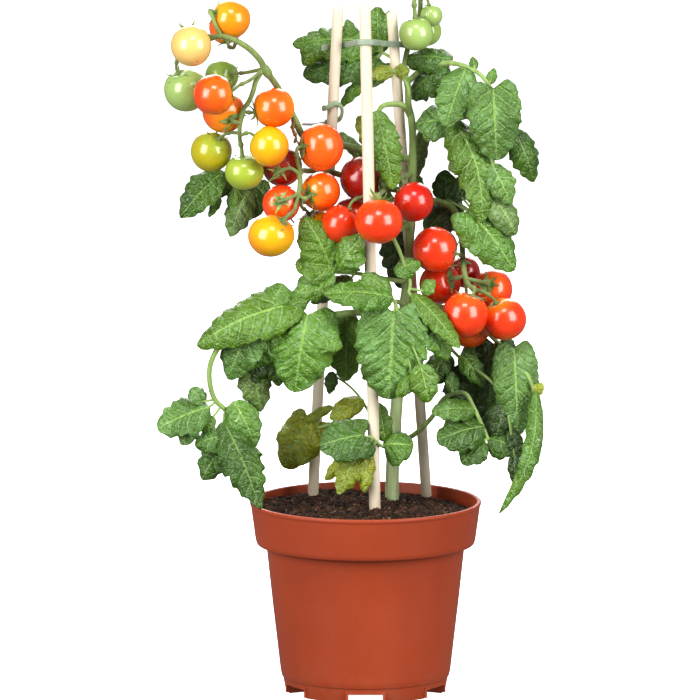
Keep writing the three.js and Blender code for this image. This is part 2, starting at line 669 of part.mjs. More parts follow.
function leaf({ stalks, blades }, grow) {
  const curves = stalks.map(([, points]) => curveThrough(points));
  const pieces = stalks.map(
    ([radius], i) => tube(curves[i], radius + grow, STALK_SIDES, LEAF_STEP),
  );
  for (const shape of blades) {
    const [from, to] = shape;
    const base = at(from);
    const inside = base.clone().addScaledVector(at(to).sub(base).normalize(), STALK_OVERLAP);
    const start = nearestOn(curves, base);
    pieces.push(straight(start, inside, STALK_RADIUS + grow, BLADE_STALK_SIDES));
    pieces.push(blade(shape, grow));
  }
  return joined(pieces);
}

// Soil: potting mix on the pot's ridges, up to just under the rim, a little higher in the middle

const SOIL_CLEARANCE = 0.1;
const SOIL_BOTTOM = RIDGE_TOP + GAP + SOIL_CLEARANCE;
const SOIL_PROFILE = [
  [0, SOIL_BOTTOM], [48, SOIL_BOTTOM], [49.1, 10.5], [54.4, 55], [57.9, 87.4], [64.2, 92.4],
  [65.8, SOIL_EDGE - 3], [65, SOIL_EDGE], [48, SOIL_EDGE + 2.5], [24, SOIL_CROWN - 0.8],
  [0, SOIL_CROWN],
];

function soil() {
  return turned(SOIL_PROFILE, POT_SEGMENTS);
}

// Assembly

place('pot', 'terracotta', 0.5, pot);
for (const rod of CANES) {
  place(rod.name, 'cane', 0.6, (grow) => cane(rod, grow));
}
place('main_stem', 'stem', 0.7, mainStem);
place('cane_clip', 'sage', 0.5, clip);
place('tie_left', 'wire', 0.6, tie);
for (const [name, fruits] of Object.entries(TOMATOES)) {
  fruits.forEach(([colour, centre, radius, halfHeight], i) => {
    const label = `tomato_${name}_${i + 1}`;
    place(label, colour, 0.25, (grow) => tomato(centre, radius, halfHeight, grow));
  });
}
for (const [name, stalks] of Object.entries(TRUSSES)) {
  place(`truss_${name}`, 'truss', 0.7, (grow) => truss(stalks, grow));
}
for (const [name, shape] of Object.entries(LEAVES)) {
  place(name, 'leaf', 0.5, (grow) => leaf(shape, grow));
}
place('potting_soil', 'peat', 0.95, soil);

export default model;
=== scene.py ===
import math
import bmesh
import bpy
import numpy as np
from mathutils import Matrix, Vector, noise


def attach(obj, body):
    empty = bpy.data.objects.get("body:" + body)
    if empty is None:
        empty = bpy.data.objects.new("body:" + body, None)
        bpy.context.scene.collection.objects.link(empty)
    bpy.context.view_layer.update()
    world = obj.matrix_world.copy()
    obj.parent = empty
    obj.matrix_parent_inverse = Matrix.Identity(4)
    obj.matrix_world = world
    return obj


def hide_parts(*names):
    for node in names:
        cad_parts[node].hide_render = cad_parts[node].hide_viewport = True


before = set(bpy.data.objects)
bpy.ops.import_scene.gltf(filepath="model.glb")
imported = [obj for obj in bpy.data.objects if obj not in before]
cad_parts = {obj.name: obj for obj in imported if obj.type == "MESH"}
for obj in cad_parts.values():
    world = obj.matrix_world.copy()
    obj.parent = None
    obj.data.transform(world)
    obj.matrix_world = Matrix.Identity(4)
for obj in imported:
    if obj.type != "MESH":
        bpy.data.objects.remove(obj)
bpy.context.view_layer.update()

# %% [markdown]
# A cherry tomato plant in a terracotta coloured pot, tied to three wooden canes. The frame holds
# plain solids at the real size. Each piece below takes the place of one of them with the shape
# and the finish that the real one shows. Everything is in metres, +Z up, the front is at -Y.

MM = 0.001

# %% [markdown]
# The camera comes first, because the places below are read through it. It stands far away with a
# long lens, as in a product picture, and looks down at 9.4 degrees. A point of the plant is
# given as x, the height that the front view shows, and y. The sight line's slope turns that
# height into z, so a point can be pushed back without moving in the picture.

# %% Camera
ELEVATION = 9.4
SIGHT_SLOPE = math.tan(math.radians(ELEVATION))
TARGET = Vector((-9.4, 0.0, 208.3)) * MM
DISTANCE = 12.0
VIEW_WIDTH = 423.15 * MM


def in_scene(name, data):
    made = bpy.data.objects.new(name, data)
    bpy.context.scene.collection.objects.link(made)
    return made


def facing_plant(name, data, azimuth, elevation, distance):
    """An object that stands this far from the target and looks at it. Angles are in degrees."""
    a, e = math.radians(azimuth), math.radians(elevation)
    way = Vector((math.sin(a) * math.cos(e), -math.cos(a) * math.cos(e), math.sin(e)))
    made = in_scene(name, data)
    made.location = TARGET + distance * way
    made.rotation_euler = way.to_track_quat("Z", "Y").to_euler()
    return made


def at(x, height, y):
    return np.array((x, y, height - SIGHT_SLOPE * y)) * MM


eye = bpy.data.cameras.new("camera")
eye.sensor_width = 36.0
eye.lens = eye.sensor_width * DISTANCE / VIEW_WIDTH
eye.clip_end = 200.0
bpy.context.scene.camera = facing_plant("camera", eye, 0, ELEVATION, DISTANCE)
print("lens, mm:", round(eye.lens))

# %% [markdown]
# Two wide soft boxes stand in front, left and right, and give the pair of upright highlights
# that each tomato shows. A small one hangs above and a weaker one stands behind. A pale floor
# reaches far behind the plant and fills the picture. It is bright to the eye, but neither lights
# the plant nor mirrors in it, as white paper far below would not. The sky is an even white.

# %% Lights and floor
LIGHT_DISTANCE = 1.6
SOFT_BOXES = (
    ("box_left", -48, 20, 0.9, 1.25, 31),
    ("box_right", 48, 20, 0.9, 1.25, 29),
    ("box_top", 0, 58, 0.5, 0.4, 8),
    ("box_back", 180, 30, 1.2, 1.0, 18),
)
SKY_STRENGTH = 0.27
FLOOR_SIZE = 120.0
WHITE = (1.0, 1.0, 1.0, 1.0)

for name, azimuth, elevation, width, height, power in SOFT_BOXES:
    lamp = bpy.data.lights.new(name, "AREA")
    lamp.shape = "RECTANGLE"
    lamp.size = width
    lamp.size_y = height
    lamp.energy = power
    facing_plant(name, lamp, azimuth, elevation, LIGHT_DISTANCE)

sky = bpy.data.worlds.new("studio")
sky.use_nodes = True
background = sky.node_tree.nodes["Background"].inputs
background["Color"].default_value = WHITE
background["Strength"].default_value = SKY_STRENGTH
bpy.context.scene.world = sky
bpy.context.scene.view_settings.view_transform = "Standard"
bpy.context.scene.view_settings.gamma = 0.9

bpy.ops.mesh.primitive_plane_add(size=FLOOR_SIZE)
floor = bpy.context.object
floor.name = "floor"
paper = bpy.data.materials.new("floor_paper")
paper.use_nodes = True
for socket, value in (("Base Color", (0.9, 0.9, 0.9, 1.0)), ("Roughness", 0.9),
                      ("Emission Color", WHITE), ("Emission Strength", 1.0)):
    paper.node_tree.nodes["Principled BSDF"].inputs[socket].default_value = value
floor.data.materials.append(paper)
floor.visible_diffuse = False
floor.visible_glossy = False
print("soft boxes:", len(SOFT_BOXES), "floor, m:", FLOOR_SIZE)

# %% [markdown]
# Every piece is made as plain arrays of points and faces and then turned into one mesh. A batch
# collects the closed shapes that belong to one piece, with one colour for each point and a second
# set of three numbers that the leaf and fruit finishes read to place their veins and spots.

# %% A batch of shapes that becomes one mesh
class Batch:
    def __init__(self):
        self.points, self.faces, self.tints, self.places = [], [], [], []
        self.slots = []
        self.count = 0

    def add(self, points, faces, tint, place=None, slot=0):
        points = np.asarray(points, dtype=float)
        n = len(points)
        self.points.append(points)
        self.faces += [tuple(v + self.count for v in face) for face in faces]
        self.tints.append(np.broadcast_to(np.asarray(tint, dtype=float), (n, 3)))
        self.places.append(np.zeros((n, 3)) if place is None else place)
        self.slots += [slot] * len(faces)
        self.count += n

    def mark(self, mesh):
        """Give each face the material slot that it was added with."""
        mesh.polygons.foreach_set("material_index", self.slots)

    def mesh(self, name):
        mesh = bpy.data.meshes.new(name)
        mesh.from_pydata(np.concatenate(self.points).tolist(), [], self.faces)
        mesh.shade_smooth()
        tint = mesh.color_attributes.new("tint", "FLOAT_COLOR", "POINT")
        rgb = np.concatenate(self.tints)
        tint.data.foreach_set("color", np.hstack([rgb, np.ones((len(rgb), 1))]).ravel())
        place = mesh.attributes.new("place", "FLOAT_VECTOR", "POINT")
        place.data.foreach_set("vector", np.concatenate(self.places).ravel())
        return mesh


def one_mesh(name, points, faces, tint, place=None):
    batch = Batch()
    batch.add(points, faces, tint, place)
    return batch.mesh(name)


def piece(name, mesh, material, node=None):
    if not mesh.materials:
        mesh.materials.append(material)
    made = in_scene(name, mesh)
    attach(made, "root")
    if node:
        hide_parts(node)
    return made


def linear(red, green, blue):
    """The linear colour of an sRGB one given from 0 to 255."""
    value = np.array((red, green, blue)) / 255.0
    return np.where(value <= 0.04045, value / 12.92, ((value + 0.055) / 1.055) ** 2.4)


# %% [markdown]
# Stems, stalks, canes and ties are round sections carried along a smooth curve. The curve
# goes through the points of its route, and the section turns as little as it can on the way, so
# that no twist shows. Both ends are closed with a small dome.

# %% Curves
DOME_RING, DOME_RISE, DOME_TOP = 0.6, 0.35, 0.5


def smooth_path(points, spacing):
    """A Catmull-Rom curve through the points, with a step of about the given spacing."""
    p = np.asarray(points, dtype=float)
    p = np.vstack([2 * p[0] - p[1], p, 2 * p[-1] - p[-2]])
    knots = np.concatenate([[0.0], np.cumsum(np.linalg.norm(np.diff(p, axis=0), axis=1) ** 0.5)])
    out = []
    for i in range(1, len(p) - 2):
        steps = max(2, round(np.linalg.norm(p[i + 1] - p[i]) / spacing))
        t0, t1, t2, t3 = knots[i - 1:i + 3]
        for t in np.linspace(t1, t2, steps, endpoint=False):
            a1 = (t1 - t) / (t1 - t0) * p[i - 1] + (t - t0) / (t1 - t0) * p[i]
            a2 = (t2 - t) / (t2 - t1) * p[i] + (t - t1) / (t2 - t1) * p[i + 1]
            a3 = (t3 - t) / (t3 - t2) * p[i + 1] + (t - t2) / (t3 - t2) * p[i + 2]
            b1 = (t2 - t) / (t2 - t0) * a1 + (t - t0) / (t2 - t0) * a2
            b2 = (t3 - t) / (t3 - t1) * a2 + (t - t1) / (t3 - t1) * a3
            out.append((t2 - t) / (t2 - t1) * b1 + (t - t1) / (t2 - t1) * b2)
    out.append(p[-2])
    return np.array(out)


def smooth_route(points, spacing):
    """The smooth path through points given as x, the height in the front view, and y."""
    return smooth_path([at(*p) for p in points], spacing)


def unit(v):
    return v / np.linalg.norm(v)


def unit_rows(rows):
    return rows / np.linalg.norm(rows, axis=1)[:, None]


def travelled(path):
    """The length of the path up to each of its points."""
    return np.concatenate([[0], np.cumsum(np.linalg.norm(np.diff(path, axis=0), axis=1))])

# %% Tubes
def tube_shape(path, radii, sides, ridge=0.0):
    """Points and faces of a closed tube. The radii are spread evenly along the path."""
    n = len(path)
    along = unit_rows(np.gradient(path, axis=0))
    radius = np.interp(np.linspace(0, 1, n), np.linspace(0, 1, len(radii)), radii)
    side = unit(np.cross(along[0], (0.31, 0.92, 0.23)))
    angles = np.arange(sides) * 2 * math.pi / sides
    shape = 1.0 + ridge * np.cos(5 * angles)
    rings = []
    for i in range(n):
        side = unit(side - np.dot(side, along[i]) * along[i])
        other = np.cross(along[i], side)
        circle = np.outer(np.cos(angles) * shape, side) + np.outer(np.sin(angles) * shape, other)
        if i == 0:
            foot = path[0] - DOME_RISE * radius[0] * along[0]
            rings.append(foot + DOME_RING * radius[0] * circle)
        rings.append(path[i] + radius[i] * circle)
        if i == n - 1:
            head = path[i] + DOME_RISE * radius[i] * along[i]
            rings.append(head + DOME_RING * radius[i] * circle)
    points = np.vstack(rings + [path[:1] - DOME_TOP * radius[0] * along[:1]]
                       + [path[-1:] + DOME_TOP * radius[-1] * along[-1:]])
    count = len(rings)
    faces = []
    for i in range(count - 1):
        for j in range(sides):
            k = (j + 1) % sides
            a, b = i * sides, (i + 1) * sides
            faces.append((a + j, a + k, b + k, b + j))
    first, last = count * sides, count * sides + 1
    for j in range(sides):
        k = (j + 1) % sides
        faces.append((first, k, j))
        faces.append((last, (count - 1) * sides + j, (count - 1) * sides + k))
    return points, faces


# %% [markdown]
# A turned shape is an outline spun round the Z axis. The pot, the soil and each tomato are such
# shapes. Round corners of an outline come from a small arc instead of many points.

# %% Turned shapes
ARC_STEPS = 4


def turned_shape(outline, sides):
    """Points and faces of an outline (radius, z) that starts and ends on the axis."""
    outline = [tuple(p) for p in outline]
    points = [(0.0, 0.0, outline[0][1])]
    angles = np.arange(sides) * 2 * math.pi / sides
    for r, z in outline[1:-1]:
        points += [(r * math.cos(a), r * math.sin(a), z) for a in angles]
    points.append((0.0, 0.0, outline[-1][1]))
    faces = []
    rings = len(outline) - 2
    last = 1 + rings * sides
    for j in range(sides):
        k = (j + 1) % sides
        faces.append((0, 1 + k, 1 + j))
        faces.append((last, 1 + (rings - 1) * sides + j, 1 + (rings - 1) * sides + k))
        for i in range(rings - 1):
            a, b = 1 + i * sides, 1 + (i + 1) * sides
            faces.append((a + j, a + k, b + k, b + j))
    return np.array(points), faces


def rounded(outline, radius):
    """The outline with every corner cut back by an arc of about this radius."""
    p = np.asarray(outline, dtype=float)
    out = [p[0]]
    for before, corner, after in zip(p, p[1:], p[2:]):
        reach = min(radius, 0.4 * np.linalg.norm(corner - before),
                    0.4 * np.linalg.norm(after - corner))
        start = corner + reach * unit(before - corner)
        end = corner + reach * unit(after - corner)
        for t in np.linspace(0, 1, ARC_STEPS):
            out.append((1 - t) ** 2 * start + 2 * t * (1 - t) * corner + t * t * end)
    out.append(p[-1])
    return out


# %% [markdown]
# Materials are built from small helpers. Each adds a node or two: a noise, a mask, a product, or
# one colour laid over another by a mask. A colour is given as sRGB from 0 to 255, or as an array
# of linear values. Every number that is the same all over stands on the shader's own socket.

# %% Nodes of one tree
class Nodes:
    """Nodes of one tree. A value for a socket is another socket or a constant."""

    def __init__(self, tree):
        self.tree = tree

    def node(self, kind, links=None, **settings):
        made = self.tree.nodes.new(kind)
        for key, value in settings.items():
            setattr(made, key, value)
        for socket, value in (links or {}).items():
            self.set(made.inputs[socket], value)
        return made

    def set(self, socket, value):
        if isinstance(value, bpy.types.NodeSocket):
            self.tree.links.new(value, socket)
        elif socket.type == "RGBA":
            rgb = value if isinstance(value, np.ndarray) else linear(*value)
            socket.default_value = (*rgb, 1.0)
        else:
            socket.default_value = value

# %% A finish and its helpers
class Finish(Nodes):
    """A node material round one Principled shader."""

    def __init__(self, name, **constants):
        self.material = bpy.data.materials.new(name)
        self.material.use_nodes = True
        super().__init__(self.material.node_tree)
        self.shader = self.tree.nodes["Principled BSDF"]
        for socket, value in constants.items():
            self.shader.inputs[socket.replace("_", " ")].default_value = value
        self.coordinates = self.node("ShaderNodeTexCoord").outputs["Object"]

    def noise(self, scale, detail=3.0, rough=0.5, vector=None):
        made = self.node("ShaderNodeTexNoise", {
            "Vector": self.coordinates if vector is None else vector,
            "Scale": scale, "Detail": detail, "Roughness": rough})
        return made.outputs["Fac"]

    def cells(self, scale, feature):
        made = self.node("ShaderNodeTexVoronoi", {
            "Vector": self.coordinates, "Scale": scale}, feature=feature)
        return made.outputs["Distance"]

    def stretch(self, scale):
        made = self.node("ShaderNodeMapping", {"Vector": self.coordinates, "Scale": scale})
        return made.outputs["Vector"]

    def attribute(self, name, output):
        return self.node("ShaderNodeAttribute", attribute_name=name).outputs[output]

    def tint(self):
        return self.attribute("tint", "Color")

    def green(self, colour):
        return self.node("ShaderNodeSeparateColor", {"Color": colour}).outputs["Green"]

    def parts(self, vector):
        """The sockets X, Y and Z of a vector."""
        return self.node("ShaderNodeSeparateXYZ", {"Vector": vector}).outputs

    def ramp(self, value, low, high, start=0.0, end=1.0):
        made = self.node("ShaderNodeMapRange", {
            "Value": value, "From Min": low, "From Max": high, "To Min": start, "To Max": end},
            interpolation_type="SMOOTHSTEP")
        return made.outputs["Result"]

    def math(self, operation, a, b=0.0):
        return self.node("ShaderNodeMath", {0: a, 1: b}, operation=operation).outputs[0]

    def times(self, value, *factors):
        for factor in factors:
            value = self.math("MULTIPLY", value, factor)
        return value

    def mix(self, factor, a, b, blend="MIX"):
        made = self.node("ShaderNodeMix", data_type="RGBA", blend_type=blend)
        for socket, value in zip((made.inputs[0], made.inputs[6], made.inputs[7]), (factor, a, b)):
            self.set(socket, value)
        return made.outputs[2]

    def over(self, colour, *layers):
        """The colour with layers given as (mask, colour) laid over it, one by one."""
        for mask, layer in layers:
            colour = self.mix(mask, colour, layer)
        return colour

    def dimmed(self, colour, shade):
        """The colour times a grey."""
        grey = self.node("ShaderNodeCombineColor", {"Red": shade, "Green": shade, "Blue": shade})
        return self.mix(1.0, colour, grey.outputs["Color"], "MULTIPLY")

    def colour(self, value):
        self.set(self.shader.inputs["Base Color"], value)

    def roughness(self, value):
        self.set(self.shader.inputs["Roughness"], value)

    def bump(self, height, distance, strength):
        made = self.node("ShaderNodeBump", {
            "Height": height, "Distance": distance, "Strength": strength})
        self.set(self.shader.inputs["Normal"], made.outputs["Normal"])


# %% [markdown]
# The pot is thin moulded plastic: a tapered cup, a crease near the foot, a wider band at the rim
# and a rolled lip. Its outline is turned with many sides. Six ridges stand on the floor, each
# over a drainage channel that opens through the foot, so boxes are joined and cut with the
# Boolean modifier, which keeps the mesh closed. The boxes are given as inner and outer radius,
# width, bottom and top, in millimetres.

# %% Pot
FOOT_RADIUS, RIM_RADIUS, WALL = 48.3, 70.0, 1.5
CHANNEL_WIDTH, CHANNEL_HEIGHT, HUB_RADIUS, CHANNELS = 21.0, 5.4, 20.0, 6
RIDGES = (HUB_RADIUS - WALL, 49.0, CHANNEL_WIDTH + 2 * WALL, 0.8, CHANNEL_HEIGHT + WALL)
CHANNEL_CUTS = (HUB_RADIUS, FOOT_RADIUS + 5, CHANNEL_WIDTH, -1, CHANNEL_HEIGHT)
DRAIN_HOLES = (31.5, 38.5, 7.0, 4.0, 8.0)
POT_SIDES, POT_CORNER, SHARP_ANGLE = 160, 0.7, math.radians(32)
POT_OUTLINE = [
    (0, 0), (FOOT_RADIUS, 0), (49.9, 8.2), (50.0, 8.7), (50.6, 9.1), (51.4, 12.3), (56.4, 55),
    (60, 88.6), (65.8, 90.2), (66.6, 92.6), (69.4, 113.2), (RIM_RADIUS, 114.2),
    (RIM_RADIUS, 115.5), (69.4, 116), (67.9, 116), (67.3, 115.4), (67.2, 113), (65, 92),
    (58.6, 88), (54.9, 55), (49.6, 10), (48.2, WALL), (0, WALL),
]


def radial_boxes(name, inner, outer, width, bottom, top):
    """One upright box along each channel, from the inner radius to the outer one."""
    mesh = bpy.data.meshes.new(name)
    shape = bmesh.new()
    size = Matrix.Diagonal((width * MM, (outer - inner) * MM, (top - bottom) * MM, 1.0))
    middle = Matrix.Translation(Vector((0, -(inner + outer) / 2, (bottom + top) / 2)) * MM)
    for i in range(CHANNELS):
        turn = Matrix.Rotation(i * 2 * math.pi / CHANNELS, 4, "Z")
        made = bmesh.ops.create_cube(shape, size=1.0)["verts"]
        bmesh.ops.transform(shape, matrix=turn @ middle @ size, verts=made)
    shape.to_mesh(mesh)
    shape.free()
    return mesh


def combine(mesh, tools):
    """The mesh after each (operation, mesh) in turn, with the Boolean modifier."""
    body = in_scene("body", mesh)
    helpers = []
    for operation, other in tools:
        helpers.append(in_scene("helper", other))
        step = body.modifiers.new(operation, "BOOLEAN")
        step.operation = operation
        step.solver = "EXACT"
        step.use_self = True
        step.object = helpers[-1]
    deps = bpy.context.evaluated_depsgraph_get()
    result = bpy.data.meshes.new_from_object(body.evaluated_get(deps))
    for thing in [body, *helpers]:
        bpy.data.objects.remove(thing)
    return result


pot_points, pot_faces = turned_shape(rounded(POT_OUTLINE, POT_CORNER), POT_SIDES)
pot_mesh = combine(one_mesh("pot", pot_points * MM, pot_faces, (1, 1, 1)), [
    ("UNION", radial_boxes("ridges", *RIDGES)),
    ("DIFFERENCE", radial_boxes("channels", *CHANNEL_CUTS)),
    ("DIFFERENCE", radial_boxes("holes", *DRAIN_HOLES)),
])
pot_mesh.materials.clear()
pot_mesh.set_sharp_from_angle(angle=SHARP_ANGLE)
print("pot faces:", len(pot_mesh.polygons))

# %% [markdown]
# Terracotta coloured plastic has a soft sheen, faint flow marks and a little dust low down.

# %% Pot plastic
def pot_finish():
    f = Finish("pot_plastic", Roughness=0.42, Specular_IOR_Level=0.42)
    base = linear(161, 67, 35)
    flow = f.ramp(f.noise(14.0, 2.0), 0.3, 0.7)
    specks = f.times(f.ramp(f.noise(900.0, 2.0), 0.66, 0.74), 0.12)
    low = f.ramp(f.parts(f.coordinates)["Z"], 0.03, 0.0)
    dust = f.times(low, f.ramp(f.noise(120.0, 4.0), 0.45, 0.7), 0.18)
    f.colour(f.over(base * 0.95, (flow, base * 1.06), (specks, (210, 130, 100)),
                    (dust, (150, 110, 80))))
    f.roughness(f.ramp(f.noise(60.0, 4.0), 0.3, 0.7, 0.38, 0.5))
    f.bump(f.noise(700.0, 2.0), 0.0001, 0.35)
    return f.material


piece("flower_pot", pot_mesh, pot_finish(), "pot")
print("pot across the rim, mm:", 2 * RIM_RADIUS)

# %% [markdown]
# A leaflet of this plant is a broad blade with shallow lobes, one at the end of each side vein.
# The veins lie in grooves, and the skin between them puffs up, so the blade looks quilted. The
# blade is a grid over (across, along): its outline, fold, wavy margin, quilting and grooves are
# formulas on that grid. The smallest puffs are cells around scattered seeds, high in the middle
# and low where two cells meet. A lower sheet a fraction of a millimetre below closes the blade.
# The grid's own coordinates and the height of the puffs are stored on the points, so that the
# colour of the veins follows the grooves.

# %% Leaflet sizes and its grid
FACING = {"front": (0, -0.8, 0.6), "back": (0, 0.75, 0.66)}
BLADE_THICKNESS = 0.42 * MM
GRID_STEP = 0.7 * MM
PUFF_SIZE = 4.6 * MM
UNDERSIDE = -1.0
VEIN_SPACING = 7.5 * MM
HEART_FROM = 13.5 * MM
VEIN_SLANT = 0.8
ROWS, HALF_COLUMNS, SIDE_VEINS = (18, 84), (6, 32), (3, 7)


def grid_faces(rows, columns):
    """Quads of a closed slab: an upper sheet of points, then a lower one, row by row."""
    n = rows * columns
    faces = []
    for i in range(rows - 1):
        for j in range(columns - 1):
            a, b = i * columns + j, (i + 1) * columns + j
            faces.append((a, a + 1, b + 1, b))
            faces.append((n + a, n + b, n + b + 1, n + a + 1))
    rim = list(range(columns))
    rim += [i * columns + columns - 1 for i in range(1, rows)]
    rim += [(rows - 1) * columns + j for j in range(columns - 2, -1, -1)]
    rim += [i * columns for i in range(rows - 2, 0, -1)]
    for a, b in zip(rim, rim[1:] + rim[:1]):
        faces.append((b, a, n + a, n + b))
    return faces

# %% Leaflet surface
def cell_puffs(x, y, half, length, random):
    """0 where two cells meet, towards 1 inside them. The cells' seeds are scattered evenly."""
    across = np.arange(-half, half + PUFF_SIZE, PUFF_SIZE)
    along = np.arange(0, length + PUFF_SIZE, PUFF_SIZE)
    seeds = np.stack(np.meshgrid(across, along), axis=-1).reshape(-1, 2)
    seeds = seeds + random.uniform(-0.42, 0.42, seeds.shape) * PUFF_SIZE
    apart = np.hypot(x[..., None] - seeds[:, 0], y[..., None] - seeds[:, 1])
    nearest = np.partition(apart, 1, axis=-1)
    inside = np.clip((nearest[..., 1] - nearest[..., 0]) / (0.9 * PUFF_SIZE), 0, 1)
    return 1 - (1 - inside) ** 2


def leaflet_shape(base, tip, half, facing, bow, random):
    """Points, faces and vein coordinates of one leaflet. Its sizes are in metres."""
    length = np.linalg.norm(tip - base)
    heart = half > HEART_FROM
    rows = int(np.clip(length / GRID_STEP, *ROWS)) + 1
    side = int(np.clip(half / GRID_STEP, *HALF_COLUMNS))
    veins = float(np.clip(round(length / VEIN_SPACING), *SIDE_VEINS))
    u = np.linspace(0, 1, rows)[:, None]
    s = np.linspace(-1, 1, 2 * side + 1)[None, :]
    turn = 0.5 * (s < 0)
    out = np.abs(s)

    # The margin: an egg shape with a rounder or a sharper tip and rounded lobes that lean forward
    egg = np.sin(math.pi * u ** (0.62 if heart else 0.74)).clip(0)
    tip_power = random.uniform(0.5, 0.62) if heart else random.uniform(0.52, 0.8)
    outline = np.where(u < 0.4, egg ** 0.62, egg ** tip_power)
    lobe = 0.5 + 0.5 * np.cos(2 * math.pi * (veins * u + turn + random.random()))
    tooth = np.cos(2 * math.pi * (2.3 * veins * u + turn + random.random()))
    depth = random.uniform(0.04, 0.08) if heart else random.uniform(0.08, 0.18)
    width = half * outline * (1.03 - depth * (1 - lobe ** 0.7) + 0.02 * tooth) + 0.35 * MM
    x = s * width
    reach = np.abs(x) / length
    y = u + 0.035 * lobe * out ** 3 * outline
    if heart:
        y = y - 0.9 * reach * (1 - u) ** 5
    else:
        y = y + 0.2 * reach * (1 - u) ** 2 * np.minimum(1, 6 * u)

    # The quilting: puffs between slanting side veins, each broken up by smaller veins
    wobble = 0.07 * np.sin(9 * s + random.uniform(0, 6))
    wobble = wobble + 0.12 * np.sin(6 * u + random.uniform(0, 6))
    along_veins = veins * (y - VEIN_SLANT * reach) + wobble
    ribs = np.abs(np.sin(math.pi * (along_veins + turn))) ** 0.75
    puffs = cell_puffs(x, y * length, half, length, random)
    rise = (4 * out * (1 - out)) ** 0.45 * outline
    z = (0.085 * half + 0.2 * MM) * rise * ribs
    z = z + (0.25 * MM + 0.028 * half) * rise ** 0.5 * puffs * (0.4 + 0.6 * ribs)
    z = z - 0.45 * MM * np.exp(-(x / (0.8 * MM)) ** 2) * (1 - u)

    # The bends: arched along its length, folded at the midrib, with a curled and wavy margin
    z = z + 0.1 * length * np.sin(math.pi * u) - random.uniform(0.02, 0.08) * length * u ** 2
    z = z - random.uniform(0.1, 0.28) * np.abs(x)
    z = z - random.uniform(0.05, 0.3) * width * out ** 3
    waves = np.sin(2 * math.pi * (random.uniform(0.3, 0.6) * veins * u + turn + random.random()))
    z = z + random.uniform(0.08, 0.2) * width * out ** 2.5 * waves
    z = z + 0.06 * half * np.sin(3.0 * s + 4.0 * u + random.uniform(0, 6))

    along = unit(tip - base)
    across = unit(np.cross(along, FACING[facing]))
    outward = np.cross(across, along)
    thick = BLADE_THICKNESS * (1 - 0.65 * s ** 4) + 0 * u
    rib = 0.5 * MM * np.exp(-(x / (0.55 * MM)) ** 2) * (1 - 0.8 * u)
    sideways = x + bow * np.sin(math.pi * u)
    sheets = []
    for level in (z + 0.5 * thick, z - 0.5 * thick - rib):
        sheets.append(base + across * sideways[..., None] + along * (y * length)[..., None]
                      + outward * level[..., None])
    points = np.concatenate([sheet.reshape(-1, 3) for sheet in sheets])
    place = np.zeros((2, rows, 2 * side + 1, 3))
    place[..., 0] = s
    place[..., 1] = along_veins
    place[0, ..., 2] = puffs
    place[1, ..., 2] = UNDERSIDE
    return points, grid_faces(rows, 2 * side + 1), place.reshape(-1, 3)


# %% [markdown]
# Each compound leaf is a stalk with leaflets. The lists give the stalks as (radius, points) and
# the leaflets as (base, tip, half width, tone), with the way they face and how far they bow to
# the side where that is special. Each leaflet gets a short stalk of its own from the nearest point.

